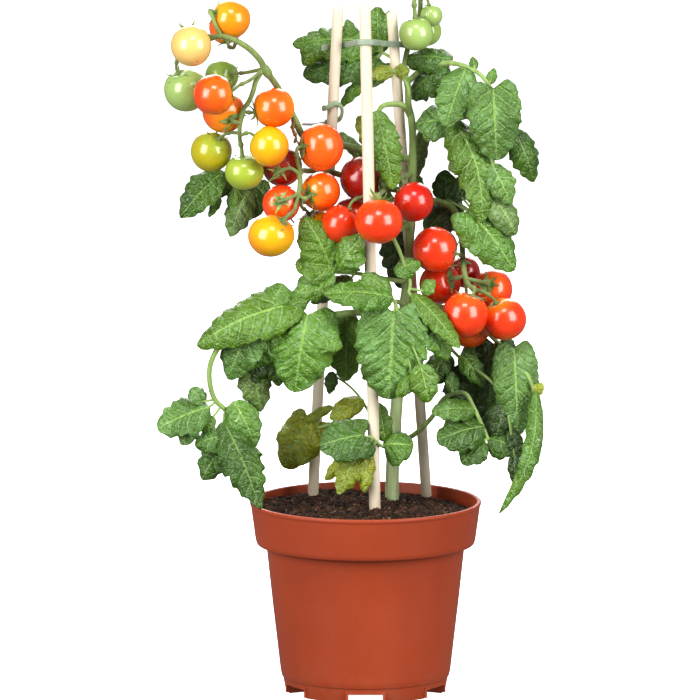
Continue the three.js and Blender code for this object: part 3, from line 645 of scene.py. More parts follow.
# %% Leaf tones and routes
# The dark and deep tones are painted shade: the leaf green darkened for the leaflets that hang in shade
# behind the others.
TONES = {
    "mid": (80, 122, 26), "bright": (85, 123, 12), "blue": (86, 126, 50), "dark": (56, 94, 8),
    "deep": (40, 70, 4), "olive": (140, 146, 2), "lime": (130, 140, 4), "grey": (96, 120, 56),
}
STALK_GREEN = linear(138, 164, 92)
STALK_SIDES = 12
LEAVES = {
    "leaf_top": (
        [(1.3, [(23, 380, 33), (18, 386, 42), (10, 391, 46)])],
        [((8, 388, 47), (-38, 378, 44), 14, "dark"), ((8, 396, 46), (-44, 397, 42), 12, "mid"),
         ((-26, 402, 43), (-38, 383, 40), 8, "bright"), ((-7, 394, 46), (-11, 411, 46), 5, "mid"),
         ((8, 390, 47), (7, 418.5, 46), 9, "mid"), ((10, 394, 45), (14, 416, 44), 4, "mid"),
         ((-1, 374, 45), (-15.5, 358, 44), 4, "bright"), ((16, 384, 44), (3, 370, 42), 4.5, "dark")]),
    "leaf_upper_right": (
        [(1.8, [(25, 372, 33), (34, 380, 30), (48, 384, 22), (60, 382, 12), (70, 376, 4),
                (77, 366, -4)])],
        [((52, 386, 22), (22, 387, 40), 9, "dark"), ((50, 381, 22), (25, 364, 40), 11, "dark"),
         ((61, 381, 9), (48, 345, 2), 12, "blue"), ((77, 368, -5), (79, 324, -9), 16, "blue"),
         ((66, 380, 8), (64.5, 388, 11), 2.5, "mid"), ((75, 371, 0), (77.5, 381, 5), 3, "mid"),
         ((80, 366, -2), (94, 356, -3), 4, "mid")]),
    "leaf_right_hanging": (
        [(1.7, [(28, 345, 28), (40, 345, 30), (55, 350, 22), (66, 351, 12), (73, 345, 4),
                (76, 330, 1), (77, 315, 0), (74, 297, 2), (68, 290, 4)])],
        [((52, 350, 14), (71, 287, -8), 13, "bright", "front", -5),
         ((51, 348, 14), (30, 347, 20), 13, "blue"), ((90, 343, 4), (102, 311, 5), 9, "dark"),
         ((76, 322, 0), (88, 297, -4), 9, "blue"), ((76, 304, 1), (91, 279, -4), 9, "grey"),
         ((62, 293, 2), (90, 257, -2), 14.5, "mid"), ((62, 326, 26), (50, 319, 24), 7, "grey"),
         ((58, 300, 30), (62, 320, 26), 6, "deep", "back"),
         ((49, 299, 40), (48, 319, 42), 8, "deep", "back"),
         ((35, 344, 32), (31, 314, 38), 4.5, "grey"), ((58, 300, 36), (34, 278, 42), 12, "deep")]),
    "leaf_beside_cane": (
        [(2.0, [(27, 352, 29), (23, 358, 24), (16, 359, 22), (10, 357.5, 18), (7, 352, 12)]),
         (1.3, [(27, 352, 29), (26.5, 358, 25), (26.5, 364, 22), (24.5, 372, 22), (17, 379, 22)])],
        [((6.5, 355, 12), (17, 306.5, 5), 10, "bright"), ((17, 379, 22), (3, 377, 22), 5.5, "lime"),
         ((17, 379, 22), (26.5, 380, 20), 5, "lime")]),
    "leaf_left_behind": (
        [(1.5, [(27.5, 285, 27), (0, 291, 52), (-40, 300, 50), (-75, 311, 38), (-84, 313, 33)])],
        [((-86, 318, 32), (-112.5, 290, 26), 11, "dark"), ((-82, 317, 36), (-91, 302, 37), 7, "deep"),
         ((-79, 309, 33), (-79, 291, 31), 5, "bright"), ((-71, 307, 36), (-82, 278, 28), 9, "grey"),
         ((-67, 308, 39), (-68, 289, 36), 8, "dark"), ((-61, 313, 42), (-65, 297, 38), 5, "blue"),
         ((-88, 302, 34), (-95, 290, 32), 2.6, "mid"), ((18, 286, 41), (22, 246, 38), 11, "deep")]),
    "leaf_middle": (
        [(1.5, [(25, 250, 27), (12, 252, 12), (-4, 255, 3), (-19, 256, -6)])],
        [((-20, 257, -7), (-36, 289, -9), 14, "bright"), ((-18, 257, -7), (-42, 262, -9), 12, "bright"),
         ((-16, 257, -7), (-3, 278, -19), 11, "bright"), ((-19, 256, -8), (-45, 240, -9), 10, "bright"),
         ((-8, 252, 4), (-34, 238, 10), 7, "grey")]),
    "leaf_front": (
        [(1.6, [(24, 236, 27), (19, 238, 10), (18, 237, -15)])],
        [((17, 231, -17), (14, 178, -24), 22, "blue"), ((33, 200, -27), (38, 176, -30), 9, "bright"),
         ((30, 192, -26), (18, 180, -26), 5, "bright"), ((17, 240, -16), (-25, 244, -22), 10, "mid"),
         ((16, 242, -14), (-2, 255, -14), 7, "bright")]),
    "leaf_front_right": (
        [(1.4, [(26, 285, 26), (17, 278, 8), (20, 270, -2), (23, 262, -5), (27, 250, -7),
                (26, 243, -10)])],
        [((28, 243, -11), (57, 210, -24), 7, "bright"), ((36, 231, -12), (50, 202, -16), 10, "mid"),
         ((34, 243, -8), (42, 251, -9), 5, "bright"), ((17, 256, -4), (33, 262, -6), 7, "mid")]),
    "leaf_left_large": (
        [(2.2, [(23, 230, 26), (5, 231, 4), (-10, 231, -4), (-35, 228, -12), (-50, 229, -14),
                (-61, 228, -15), (-72, 225, -17), (-82, 218, -18), (-90, 208, -18),
                (-94, 198, -16), (-94, 188, -14), (-91, 178, -12), (-85, 172, -10)])],
        [((-35, 230, -13), (-43, 182.5, -22), 20, "mid"), ((-34, 219, -15), (-14, 210, -19), 9, "mid"),
         ((-44, 237, -12), (-102, 212.5, -22), 15, "bright"),
         ((-58, 231, -13), (-50, 249, -10), 10, "mid"),
         ((-52, 231, -13), (-33, 241, -11), 6, "mid"), ((-66, 226, -17), (-84, 190, -14), 13, "blue"),
         ((-56, 226, -13), (-70, 196, -8), 12, "mid"), ((-61, 206, -7), (-73, 185, -5), 8, "deep"),
         ((-57, 208, -7), (-52, 186, -7), 6, "dark"), ((-70, 202, -6), (-63, 170, -4), 10, "grey"),
         ((-11, 231, 3), (-12, 189, 7), 12, "bright"), ((-94, 173, -12), (-126, 161, -16), 13, "blue"),
         ((-103, 168, -13), (-111, 150, -16), 7, "blue"),
         ((-98, 175, -12), (-105, 185, -14), 6, "blue"),
         ((-92, 168, -12), (-98, 157, -13), 4, "bright"),
         ((-86, 165, -12), (-63, 112, -34), 13, "dark"),
         ((-84, 156, -14), (-103, 150, -18), 9, "dark"),
         ((-80, 148, -22), (-64, 139, -26), 8.5, "dark"),
         ((-86, 150, -13), (-99, 129, -17), 9.5, "dark"),
         ((-80, 177, -11), (-66, 149, -14), 11, "mid")]),
    "leaf_low_centre": (
        [(1.4, [(16.5, 147, 21), (12.5, 149, 5), (9, 150, -12), (3, 155, -17)])],
        [((-1, 156, -18), (-28, 150, -22), 15, "dark"), ((12, 152, -4), (8, 176, -1), 6, "bright"),
         ((11, 150, -8), (29, 150, -10), 12, "mid"), ((-4, 144, -17), (-17, 120, -22), 8, "lime"),
         ((-8, 145, -14), (-25, 129, -12), 5, "olive"), ((2, 147, -17), (-1, 121, -22), 5, "olive")]),
    "leaf_low_left": (
        [(1.4, [(17.5, 158, 22), (2, 160, 14), (-16, 163, 18), (-31, 160, 25)]),
         (0.9, [(6, 160, 15), (2, 170, 13), (-4, 180, 12), (-12, 188, 11), (-20, 193, 10)])],
        [((-34, 164, 26), (-50, 136, 25), 14, "olive"), ((-38, 163, 26), (-20, 174, 27), 3.5, "olive"),
         ((-1, 178, 12), (-22, 167, 9), 7, "olive"), ((-20, 195, 10), (-22, 181, 12), 4, "dark"),
         ((-28, 158, 24), (-20, 163, 24), 4, "olive")]),
    "leaf_low_right": (
        [(1.6, [(17.5, 150, 22), (24, 153, 24), (29, 156, 27), (35, 161, 32), (41, 168, 33),
                (47, 178, 25), (55, 182, 15), (61, 181, 8), (66, 172, 2), (71, 161, -2),
                (76, 149, -4)])],
        [((67, 172, 2), (40, 171, -4), 8, "mid"), ((72, 161, -3), (43, 154, -8), 13, "dark"),
         ((72, 153, -4), (58, 139, -9), 9, "dark"), ((74, 154, -3), (93, 147, -6), 9, "dark"),
         ((53, 182, 17), (52, 195, 18), 4.5, "blue")]),
    "leaf_right_outer": (
        [(1.6, [(24, 240, 27), (42, 236, 36), (60, 230, 42), (70, 223, 40), (80, 213, 28),
                (90, 205, 10), (98, 193, 0), (104, 178, -6)]),
         (1.2, [(46, 235, 38), (49, 214, 32), (60, 201, 20), (75, 190, 5), (85, 178, -2)])],
        [((90, 210, 7), (92, 156, -5), 13.6, "blue"),
         ((103, 184, -7), (80.5, 108.5, -24), 5.5, "mid", "front", -9),
         ((101, 181, -5), (107, 188, -5), 3.5, "olive"), ((66, 214, 30), (70, 180, 27), 11, "blue"),
         ((78, 212, 29), (74, 153, 24), 16, "deep"), ((86, 180, -1), (78, 150, -2), 10, "deep"),
         ((88, 160, -4), (93, 142, -8), 5, "deep"), ((90, 145, -8), (90, 126, -11), 4, "deep"),
         ((82, 211, 26), (89, 197, 20), 6, "bright"), ((58, 206, 17), (72, 186, 12), 7, "mid"),
         ((50, 207, 26), (38, 187, 22), 9, "dark"), ((60, 200, 24), (58, 164, 22), 12, "deep")]),
    "leaf_back_upper": (
        [(1.5, [(28, 320, 28), (26, 324, 50), (18, 322, 70), (8, 312, 84)])],
        [((20, 324, 62), (34, 301, 78), 8, "mid", "back"),
         ((14, 321, 74), (-8, 301, 84), 9, "mid", "back"),
         ((8, 312, 84), (4, 282, 96), 11, "mid", "back"), ((10, 327, 54), (-4, 352, 50), 8, "olive"),
         ((-2, 325, 52), (-15, 342, 48), 4, "grey")]),
    "leaf_back_lower": (
        [(1.6, [(20, 190, 26), (14, 200, 50), (4, 206, 70), (-2, 200, 84)])],
        [((8, 205, 62), (34, 198, 76), 8, "mid", "back"),
         ((2, 206, 74), (-24, 206, 82), 8, "mid", "back"),
         ((4, 204, 82), (8, 184, 96), 8, "mid", "back"),
         ((16, 200, 46), (38, 216, 58), 8, "mid", "back")]),
}

print("leaves:", len(LEAVES), "leaflets:", sum(len(blades) for _, blades in LEAVES.values()))

# %% [markdown]
# A leaf's stalks and leaflets become one mesh with two finishes, one for the blades and one for
# the stalks. Each leaf draws its random numbers from a seed of its own.

# %% Leaf assembly
def nearest_on(paths, point):
    every = np.vstack(paths)
    return every[np.argmin(np.linalg.norm(every - point, axis=1))]


def add_stalk(batch, path, radii):
    points, faces = tube_shape(path, radii, STALK_SIDES)
    batch.add(points, faces, STALK_GREEN, slot=1)


def make_leaf(node, number):
    stalks, blades = LEAVES[node]
    batch = Batch()
    random = np.random.default_rng(100 + number)
    paths = []
    for radius, route in stalks:
        path = smooth_route(route, 1.5 * MM)
        paths.append(path)
        add_stalk(batch, path, [radius * MM, 0.7 * radius * MM])
    for base, tip, half, tone, *extra in blades:
        start, end = at(*base), at(*tip)
        stem_point = nearest_on(paths, start)
        inside = start + 2.0 * MM * unit(end - start)
        add_stalk(batch, np.linspace(stem_point, inside, 6), [0.9 * MM, 0.6 * MM])
        tint = linear(*TONES[tone]) * random.uniform(0.9, 1.12)
        facing, bow = (*extra, *("front", 0)[len(extra):])
        points, faces, place = leaflet_shape(start, end, half * MM, facing, bow * MM, random)
        batch.add(points, faces, tint, place)
    made = piece(node + "_grown", batch.mesh(node), leaf_skin, node)
    made.data.materials.append(stalk_skin)
    batch.mark(made.data)
    return len(batch.faces)


# %% [markdown]
# The blade's finish reads the stored grid coordinates. The midrib is the middle of the first
# one, the side veins stand where the second one is whole, half a step apart on the two sides,
# and a net of small cells lies between them. The grooves along the side veins, the creases and
# the net get painted shade. On the lighter leaflets the tops of the puffs get a pale grey-blue
# painted sheen and the lower sheet is paler. On the dark ones both fade, because the dark tones
# are painted shade for leaflets that hang in deep shade.

# %% Leaf finish
def leaf_finish():
    f = Finish("leaf_blade", Roughness=0.3, Specular_IOR_Level=0.7)
    across, along, puff = f.parts(f.attribute("place", "Vector"))
    out = f.math("ABSOLUTE", across)
    half_turn = f.times(f.math("LESS_THAN", across, 0.0), 0.5)
    drift = f.ramp(f.noise(90.0, 2.0), 0.3, 0.7, 0.4, 0.6)
    wave = f.math("FRACT", f.math("ADD", f.math("ADD", along, half_turn), drift))
    off = f.math("ABSOLUTE", f.math("SUBTRACT", wave, 0.5))
    side_vein = f.times(f.ramp(off, 0.075, 0.015), f.ramp(out, 1.1, 0.4), 0.85)
    veins = f.math("MAXIMUM", f.ramp(out, 0.065, 0.02), side_vein)
    crumple = f.math("ABSOLUTE", f.math("SUBTRACT", f.noise(240.0), 0.5))
    creases = f.ramp(crumple, 0.0, 0.12)
    net = f.ramp(f.cells(520.0, "DISTANCE_TO_EDGE"), 0.0, 0.3)

    tint = f.tint()
    green = f.green(tint)
    lively = f.ramp(green, 0.04, 0.2)
    patch = f.ramp(f.noise(60.0, 4.0), 0.3, 0.7, 0.8, 1.16)
    # Painted shade: the green darkens along the grooves of the side veins, in the creases and along the
    # net of small cells.
    painted_groove_shade = f.ramp(off, 0.0, 0.3, 0.8, 1.06)
    painted_crease_shade = f.times(f.ramp(creases, 0.0, 1.0, 0.9, 1.04), f.ramp(net, 0.0, 1.0, 0.94, 1.03))
    yellow = f.times(f.ramp(f.noise(28.0, 2.0), 0.5, 0.75), 0.35)
    # Painted sheen: a pale grey-blue laid on the tops of the puffs, faded on the dark tones.
    painted_sheen = f.times(f.ramp(f.noise(60.0), 0.46, 0.64), f.ramp(puff, 0.2, 0.8))
    f.colour(f.over(
        f.dimmed(tint, f.times(patch, painted_groove_shade, painted_crease_shade)),
        (yellow, (110, 152, 34)),
        (f.times(lively, 0.42, painted_sheen), (136, 174, 122)),
        (f.times(lively, 0.3, f.ramp(puff, 0.22, 0.05)), (122, 158, 62)),
        (f.times(veins, f.ramp(green, 0.04, 0.2, 0.26, 0.64)), (158, 192, 98)),
        (f.times(lively, 0.45, f.math("LESS_THAN", puff, UNDERSIDE / 2)), (116, 150, 64))))
    f.roughness(f.ramp(f.noise(240.0), 0.3, 0.7, 0.28, 0.42))
    height = f.math("ADD", creases, f.times(net, 0.5))
    f.bump(f.math("ADD", height, f.times(veins, 0.5)), 0.0006, 0.7)
    return f.material


def stalk_finish():
    f = Finish("stalk_skin", Roughness=0.6, Specular_IOR_Level=0.35, Sheen_Weight=0.25)
    streak = f.noise(300.0, vector=f.stretch((1.0, 1.0, 0.15)))
    f.colour(f.dimmed(f.tint(), f.ramp(streak, 0.3, 0.7, 0.8, 1.18)))
    f.bump(f.noise(1400.0), 0.0003, 0.5)
    return f.material


leaf_skin, stalk_skin = leaf_finish(), stalk_finish()
faces_made = [make_leaf(node, number) for number, node in enumerate(LEAVES)]
print("leaf faces:", sum(faces_made), "most in one leaf:", max(faces_made))

# %% [markdown]
# Three wooden canes hold the plant. A turned rod is nearly a cylinder, but never quite: its
# thickness wanders by a few hundredths of a millimetre, it bows a little, and its sawn ends are
# broken by a small chamfer. So each one is a tube with many rings instead of a cylinder.

# %% Canes
CANES = {
    "cane_front": (3.55, (5.4, 115.3, -10.6), (-0.4, 418.5, 3), 80),
    "cane_left": (3.3, (-31.7, 120.2, 37.5), (-16.5, 418.5, 35), 60),
    "cane_right": (3.2, (36.9, 120, 42), (15.8, 414.5, 35), 22),
}
CANE_SIDES, CANE_RINGS = 28, 70
CHAMFER = 0.5 * MM
BEND = 0.25 * MM
CANE_TINT = linear(220, 211, 192)


def cane_mesh(name, number):
    radius, foot, head, buried = CANES[name]
    top, soil_point = at(*head), at(*foot)
    down = unit(soil_point - top)
    bottom = soil_point + down * buried * MM
    t = np.linspace(0, 1, CANE_RINGS)[:, None]
    random = np.random.default_rng(20 + number)
    path = bottom + t * (top - bottom)
    path[:, 0] += BEND * np.sin(math.pi * t[:, 0]) * random.choice((-1, 1))
    wander = sum(np.sin(k * t[:, 0] + random.uniform(0, 6)) / k for k in (9, 17, 31))
    radii = radius * MM * (1 + 0.09 * wander / 3)
    points, faces = tube_shape(path, radii, CANE_SIDES)
    rings = len(path) + 2
    ends = ((0, path[0], down, radii[0]), (rings - 1, path[-1], -down, radii[-1]))
    for ring, centre, way, wide in ends:
        first = ring * CANE_SIDES
        circle = points[first:first + CANE_SIDES] - centre
        circle -= np.outer(circle @ down, down)
        circle *= (wide - CHAMFER) / np.linalg.norm(circle, axis=1)[:, None]
        points[first:first + CANE_SIDES] = centre + circle + CHAMFER * way
    points[-2] = path[0] + CHAMFER * down
    points[-1] = path[-1] - CHAMFER * down
    return one_mesh(name, points, faces, CANE_TINT * random.uniform(0.94, 1.04))


def wood_finish():
    f = Finish("cane_wood_finish", Roughness=0.62, Specular_IOR_Level=0.35)
    grain = f.noise(1.0, 4.0, 0.6, f.stretch((420.0, 420.0, 9.0)))
    pores = f.noise(1.0, 2.0, 0.5, f.stretch((1600.0, 1600.0, 60.0)))
    patches = f.noise(1.0, 3.0, 0.5, f.stretch((60.0, 60.0, 14.0)))
    low = f.ramp(f.parts(f.coordinates)["Z"], 0.135, 0.108)
    f.colour(f.over(
        f.tint(),
        (f.ramp(grain, 0.38, 0.72, 0.0, 0.6), (222, 202, 168)),
        (f.ramp(pores, 0.56, 0.74, 0.0, 0.25), (186, 152, 116)),
        (f.ramp(patches, 0.55, 0.8, 0.0, 0.35), (214, 198, 172)),
        (f.times(low, f.ramp(patches, 0.3, 0.7, 0.5, 1.0), 0.6), (120, 92, 58))))
    f.roughness(f.ramp(grain, 0.3, 0.7, 0.5, 0.72))
    f.bump(f.math("ADD", grain, f.times(pores, 0.6)), 0.00012, 0.6)
    return f.material


wood = wood_finish()
for number, name in enumerate(CANES):
    piece(name + "_turned", cane_mesh(name, number), wood, name)
print("canes:", len(CANES), "radii, mm:", [CANES[name][0] for name in CANES])

# %% [markdown]
# A soft plastic band is woven behind the left cane and in front of the other two. Its section is
# a rounded rectangle that stays upright along the route, and its ends flare out a little. Lower
# down a soft band and a twisted wire hold the upper left fruit stalk to the left cane. Two thin
# tubes that wind round one path make the twist.

# %% Clip and tie: sizes and helpers
CLIP_HEIGHT = 3.7 * MM
CLIP_THICKNESS = 1.3 * MM
CLIP_ROUTE = [
    (-26, 393.5, 32.5), (-22, 394.2, 38.2), (-17.5, 395.2, 40.3), (-12, 395.6, 36), (-7, 396, 12),
    (-4, 396.4, -1), (0.3, 396.5, -2.6), (4.5, 396.3, -1), (8, 396.2, 12), (11.5, 396, 28),
    (14.5, 395.9, 31), (17.5, 395.8, 31.2), (21, 395.6, 32), (24, 395.5, 34),
]
TIE_BAND = [
    (-25.6, 356.5, 33), (-23, 357, 31), (-18, 359.5, 31.3), (-14.5, 357, 34), (-15, 351, 37),
    (-19, 348.5, 40.6), (-24, 348, 38),
]
TIE_WIRE = [(-24, 348, 38), (-26, 347.6, 34), (-32, 346.5, 22), (-38, 346.5, 14.5)]
TIE_HEIGHT = 3.2 * MM
TIE_THICKNESS = 2.0 * MM
STRAND_RADIUS = 0.42 * MM
TWIST_RADIUS = 0.45 * MM
TWIST_LENGTH = 3.2 * MM
BAND_SIDES = 16
BAND_END = 0.4 * MM


def upright_band(path, height, thickness):
    """A closed band with a rounded section whose height stays along Z."""
    angles = np.arange(BAND_SIDES) * 2 * math.pi / BAND_SIDES
    flat = np.sign(np.cos(angles)) * np.abs(np.cos(angles)) ** 0.5
    tall = np.sign(np.sin(angles)) * np.abs(np.sin(angles)) ** 0.5
    points, faces = tube_shape(path, [1.0 * MM], BAND_SIDES)
    along = np.gradient(path, axis=0)
    along[:, 2] = 0
    along = unit_rows(along)
    across = np.stack([-along[:, 1], along[:, 0], 0 * along[:, 0]], axis=1)
    rings = [0] + list(range(len(path))) + [len(path) - 1]
    for ring, i in enumerate(rings):
        inset = 0.75 if ring in (0, len(rings) - 1) else 1.0
        end = {0: -BAND_END, len(rings) - 1: BAND_END}.get(ring, 0.0)
        flare = 1 + 0.15 * math.exp(-min(i, len(path) - 1 - i) / 3)
        circle = (np.outer(-flat * inset * thickness / 2, across[i])
                  + np.outer(tall * inset * flare * height / 2, (0, 0, 1)))
        points[ring * BAND_SIDES:(ring + 1) * BAND_SIDES] = path[i] + circle + end * along[i]
    points[-2], points[-1] = path[0] - BAND_END * along[0], path[-1] + BAND_END * along[-1]
    return points, faces


def twisted_pair(path):
    """Two strands that wind round one path."""
    along = unit_rows(np.gradient(path, axis=0))
    side = unit_rows(np.cross(along, (0, 0, 1)))
    other = np.cross(along, side)
    angle = travelled(path) / TWIST_LENGTH * 2 * math.pi
    for start in (0, math.pi):
        a = (angle + start)[:, None]
        yield path + TWIST_RADIUS * (np.cos(a) * side + np.sin(a) * other)


def soft_plastic(name, roughness):
    f = Finish(name, Roughness=roughness, Specular_IOR_Level=0.45)
    f.colour(f.dimmed(f.tint(), f.ramp(f.noise(160.0, 4.0), 0.3, 0.7, 0.86, 1.1)))
    f.roughness(f.ramp(f.noise(600.0), 0.3, 0.7, roughness - 0.08, roughness + 0.12))
    f.bump(f.noise(900.0), 0.0001, 0.5)
    return f.material

# %% Clip and tie: the pieces
clip_path = smooth_route(CLIP_ROUTE, 0.8 * MM)
clip_band = upright_band(clip_path, CLIP_HEIGHT, CLIP_THICKNESS)
piece("cane_clip_band", one_mesh("cane_clip", *clip_band, linear(150, 165, 145)),
      soft_plastic("sage_plastic", 0.5), "cane_clip")

tie_batch = Batch()
band_path = smooth_route(TIE_BAND, 0.7 * MM)
tie_batch.add(*upright_band(band_path, TIE_HEIGHT, TIE_THICKNESS), linear(150, 170, 140))
for strand in twisted_pair(smooth_route(TIE_WIRE, 0.35 * MM)):
    tie_batch.add(*tube_shape(strand, [STRAND_RADIUS], 8), linear(150, 156, 150))
piece("tie_band_and_wire", tie_batch.mesh("tie_left"), soft_plastic("tie_finish", 0.42),
      "tie_left")
print("clip length, mm:", round(travelled(clip_path)[-1] / MM))

# %% [markdown]
# The tomatoes ripen from green over yellow and orange to red, and each one is at its own stage.
# The lists give a tomato's centre, radius and half height, and its three colours: at the stalk,
# round the middle and at the far end. Where two stages meet, the skin blends from one to the next.

# %% Tomato table
SKIN = {
    "green": (116, 154, 54), "pale_green": (146, 176, 80), "mint": (160, 186, 106),
    "grass": (160, 180, 58), "lime": (184, 172, 16), "cream": (228, 190, 112),
    "yellow": (236, 174, 4), "amber": (240, 142, 4), "orange": (238, 98, 2),
    "scarlet": (234, 56, 4), "red": (198, 22, 3), "deep": (150, 14, 6),
}
TOMATOES = {
    "left_upper": [
        ((-81, 410.5, -2), 11.6, 11.6, "yellow amber amber"),
        ((-84.5, 406, 22), 10, 10, "amber orange orange"),
        ((-104.9, 393.8, -18), 12.3, 12.3, "lime cream cream"),
        ((-108.3, 367.3, 6), 13.1, 13.1, "mint mint mint"),
        ((-87, 376, 21), 10, 10, "green pale_green mint"),
        ((-91.7, 364, -15), 12.2, 12.2, "amber orange scarlet"),
        ((-85.7, 354, 9), 12.7, 12.7, "amber orange orange"),
        ((-55.2, 356.5, 0), 12.4, 12, "amber orange amber"),
        ((-93.3, 329.8, 13), 12.3, 12.3, "grass lime lime"),
        ((-58, 332.7, -9), 11.7, 12.2, "lime yellow amber"),
        ((-73.3, 317, 4), 11.8, 10.7, "pale_green grass grass"),
    ],
    "left_lower": [
        ((-50.5, 321, 17), 12.2, 12.2, "deep deep red"),
        ((-26.8, 332.5, 6), 13.4, 14.3, "orange orange scarlet"),
        ((-27, 305.5, 10), 11.8, 11.8, "amber orange scarlet"),
        ((-51, 298, 3), 11.3, 11.3, "orange scarlet scarlet"),
        ((-57, 278, -15), 14, 12.6, "amber yellow amber"),
        ((-29, 282.7, 18), 11.7, 11.7, "yellow amber orange"),
        ((-8.5, 291.5, 31), 10.5, 10.5, "red red deep"),
    ],
    "centre": [
        ((-15, 285, -2), 11.8, 11.8, "scarlet scarlet red"),
        ((8, 286.7, -22), 14.4, 13.5, "orange scarlet scarlet"),
        ((-2, 313.5, 22), 13.5, 13.5, "deep deep red"),
        ((29.3, 299, 10), 12, 12, "red red red"),
    ],
    "right": [
        ((42, 270, 5), 13.8, 13.8, "scarlet scarlet red"),
        ((45, 249, 22), 12.5, 12.5, "red scarlet scarlet"),
        ((60, 229.5, -5), 14, 14, "orange scarlet scarlet"),
        ((84, 227.2, 6), 13.2, 12.8, "amber scarlet scarlet"),
        ((76.8, 245.5, 28), 12.3, 12.3, "orange scarlet scarlet"),
        ((60, 256, 42), 9.5, 9.5, "deep deep red"),
        ((63, 222, 24), 12.2, 12.2, "orange orange scarlet"),
    ],
    "top": [
        ((30.5, 402, 28), 10.3, 10.3, "pale_green mint mint"),
        ((39.8, 413.3, 41), 6.7, 6.7, "pale_green mint mint"),
        ((37, 404, 54), 9, 9, "pale_green pale_green mint"),
    ],
}
print("tomatoes:", sum(len(fruits) for fruits in TOMATOES.values()))

# %% [markdown]
# A truss is a fruit stalk with side stalks, listed as (radius, points). A run of points that
# carries a tomato ends in the middle of it, and the stalk stops at its skin. Such a stalk has a
# knuckle, the swollen joint where a ripe fruit breaks off, and widens where the sepals stand. All
# stalks get thinner towards their ends. A knot sits at the fork of the upper left truss, and two
# withered side stalks hang from the left trusses.

# %% Truss table
TRUSSES = {
    "left_upper": [
        (2.4, [(28, 325, 27), (5, 330, 38), (-15, 334, 29), (-30, 338, 24), (-38, 340, 16),
               (-42, 348, 12), (-47, 358, 14), (-53, 369, 6), (-60, 379, -4), (-64, 386, -7),
               (-71, 393, -9), (-80, 398, -10), (-88, 400, -11), (-94, 398.5, -8)]),
        (1.3, [(-92, 399.5, -9), (-103, 402, -3), (-109, 404.5, -9), (-104.9, 393.8, -18)]),
        (1.2, [(-87, 400, -11), (-90, 406, -11.5), (-93, 413, -10), (-94, 416, -6),
               (-81, 410.5, -2)]),
        (1.2, [(-78, 397, -10), (-80, 393, 4), (-83, 395, 14), (-84.5, 406, 22)]),
        (1.2, [(-102, 401.5, -4), (-112, 392, -2), (-114, 384, 0), (-114, 380, 2),
               (-108.3, 367.3, 6)]),
        (1.2, [(-61, 380, -4), (-70, 373, -10), (-76, 370, -12), (-80, 367, -14),
               (-91.7, 364, -15)]),
        (1.2, [(-62, 380, -4), (-72, 378, 6), (-78, 377.5, 12), (-87, 376, 21)]),
        (1.6, [(-61, 381, -5), (-66, 373, -5), (-68, 366, -5), (-70.5, 360, -4), (-74, 355, -2),
               (-75, 350, -3), (-76, 344, -2), (-76, 338, 0), (-75, 332, 2), (-73.3, 317, 4)]),
        (1.1, [(-75.5, 347, -3), (-80, 348, -5), (-85.7, 354, 9)]),
        (1.1, [(-76, 341, -1), (-83, 341, 4), (-88, 338, 7), (-93.3, 329.8, 13)]),
        (1.1, [(-74, 354, -2), (-68, 353.5, -1), (-55.2, 356.5, 0)]),
        (1.1, [(-76, 339.5, 0), (-70, 341, -5), (-58, 332.7, -9)]),
    ],
    "left_lower": [
        (2.1, [(27.5, 305, 27), (12, 308, 39), (-6, 312, 38), (-16, 316, 32), (-24, 318, 27),
               (-34, 318, 16), (-39.5, 317, 4), (-39.5, 310, -1), (-40.5, 303, -3)]),
        (1.3, [(-39, 316, 5), (-41.5, 326, 0), (-41, 332, -1), (-26.8, 332.5, 6)]),
        (1.2, [(-39.5, 316, 3), (-46, 319.5, 0), (-53, 317, 2), (-50.5, 321, 17)]),
        (1.2, [(-40.5, 303, -3), (-37, 301, -3), (-27, 305.5, 10)]),
        (1.2, [(-40.5, 304, -3), (-46, 301, -8), (-52, 299, -10), (-51, 298, 3)]),
        (1.2, [(-40.5, 303.5, -3), (-43, 294, -10), (-47, 290, -20), (-57, 278, -15)]),
        (1.2, [(-40.5, 304, -3), (-38.5, 296, 6), (-35, 293, 14), (-29, 282.7, 18)]),
        (1.2, [(-6, 312, 38), (-6, 302, 39), (-8.5, 291.5, 31)]),
    ],
    "centre": [
        (1.7, [(28, 316, 26), (17, 312, 14), (10, 305, 8), (8, 303, -3), (8, 300, -16),
               (8, 286.7, -22)]),
        (1.2, [(9, 304, 7), (-2, 302, 4), (-8, 299, 0), (-15, 285, -2)]),
        (1.2, [(13, 308, 11), (8, 311, 16), (-2, 313.5, 22)]),
        (1.2, [(22, 314, 21), (23, 308, 14), (29.3, 299, 10)]),
    ],
    "right": [
        (2.1, [(27.5, 298, 27), (40, 300, 32), (52, 296, 30), (57, 285, 26), (58.5, 272, 18),
               (59, 262, 8), (60, 255, 2), (62, 249, 2), (65, 245, 2)]),
        (1.2, [(58.7, 266, 12), (56, 267, 3), (42, 270, 5)]),
        (1.2, [(60, 254, 2), (55, 252, 8), (45, 249, 22)]),
        (1.2, [(63, 247.5, 1), (66, 245.5, -5), (60, 229.5, -5)]),
        (1.2, [(64, 246, 1), (72, 243.5, 0), (77, 240, 2), (84, 227.2, 6)]),
        (1.2, [(61, 252, 1), (66, 251, 4), (73, 249.5, 12), (76.8, 245.5, 28)]),
        (1.2, [(58.2, 276, 21), (59, 268, 32), (60, 256, 42)]),
        (1.2, [(60, 254, 3), (61, 244, 14), (63, 222, 24)]),
    ],
    "top": [
        (1.7, [(23, 380, 33), (26, 395, 44), (32, 410, 50), (33, 424, 42), (31, 427, 34),
               (29.5, 422, 29), (30.5, 402, 28)]),
        (1.1, [(33, 423, 43), (37, 424, 42), (39.8, 413.3, 41)]),
        (1.1, [(30, 405, 48.5), (33, 407, 52), (37, 404, 54)]),
    ],
}
print("stalks on each truss:", {name: len(runs) for name, runs in TRUSSES.items()})

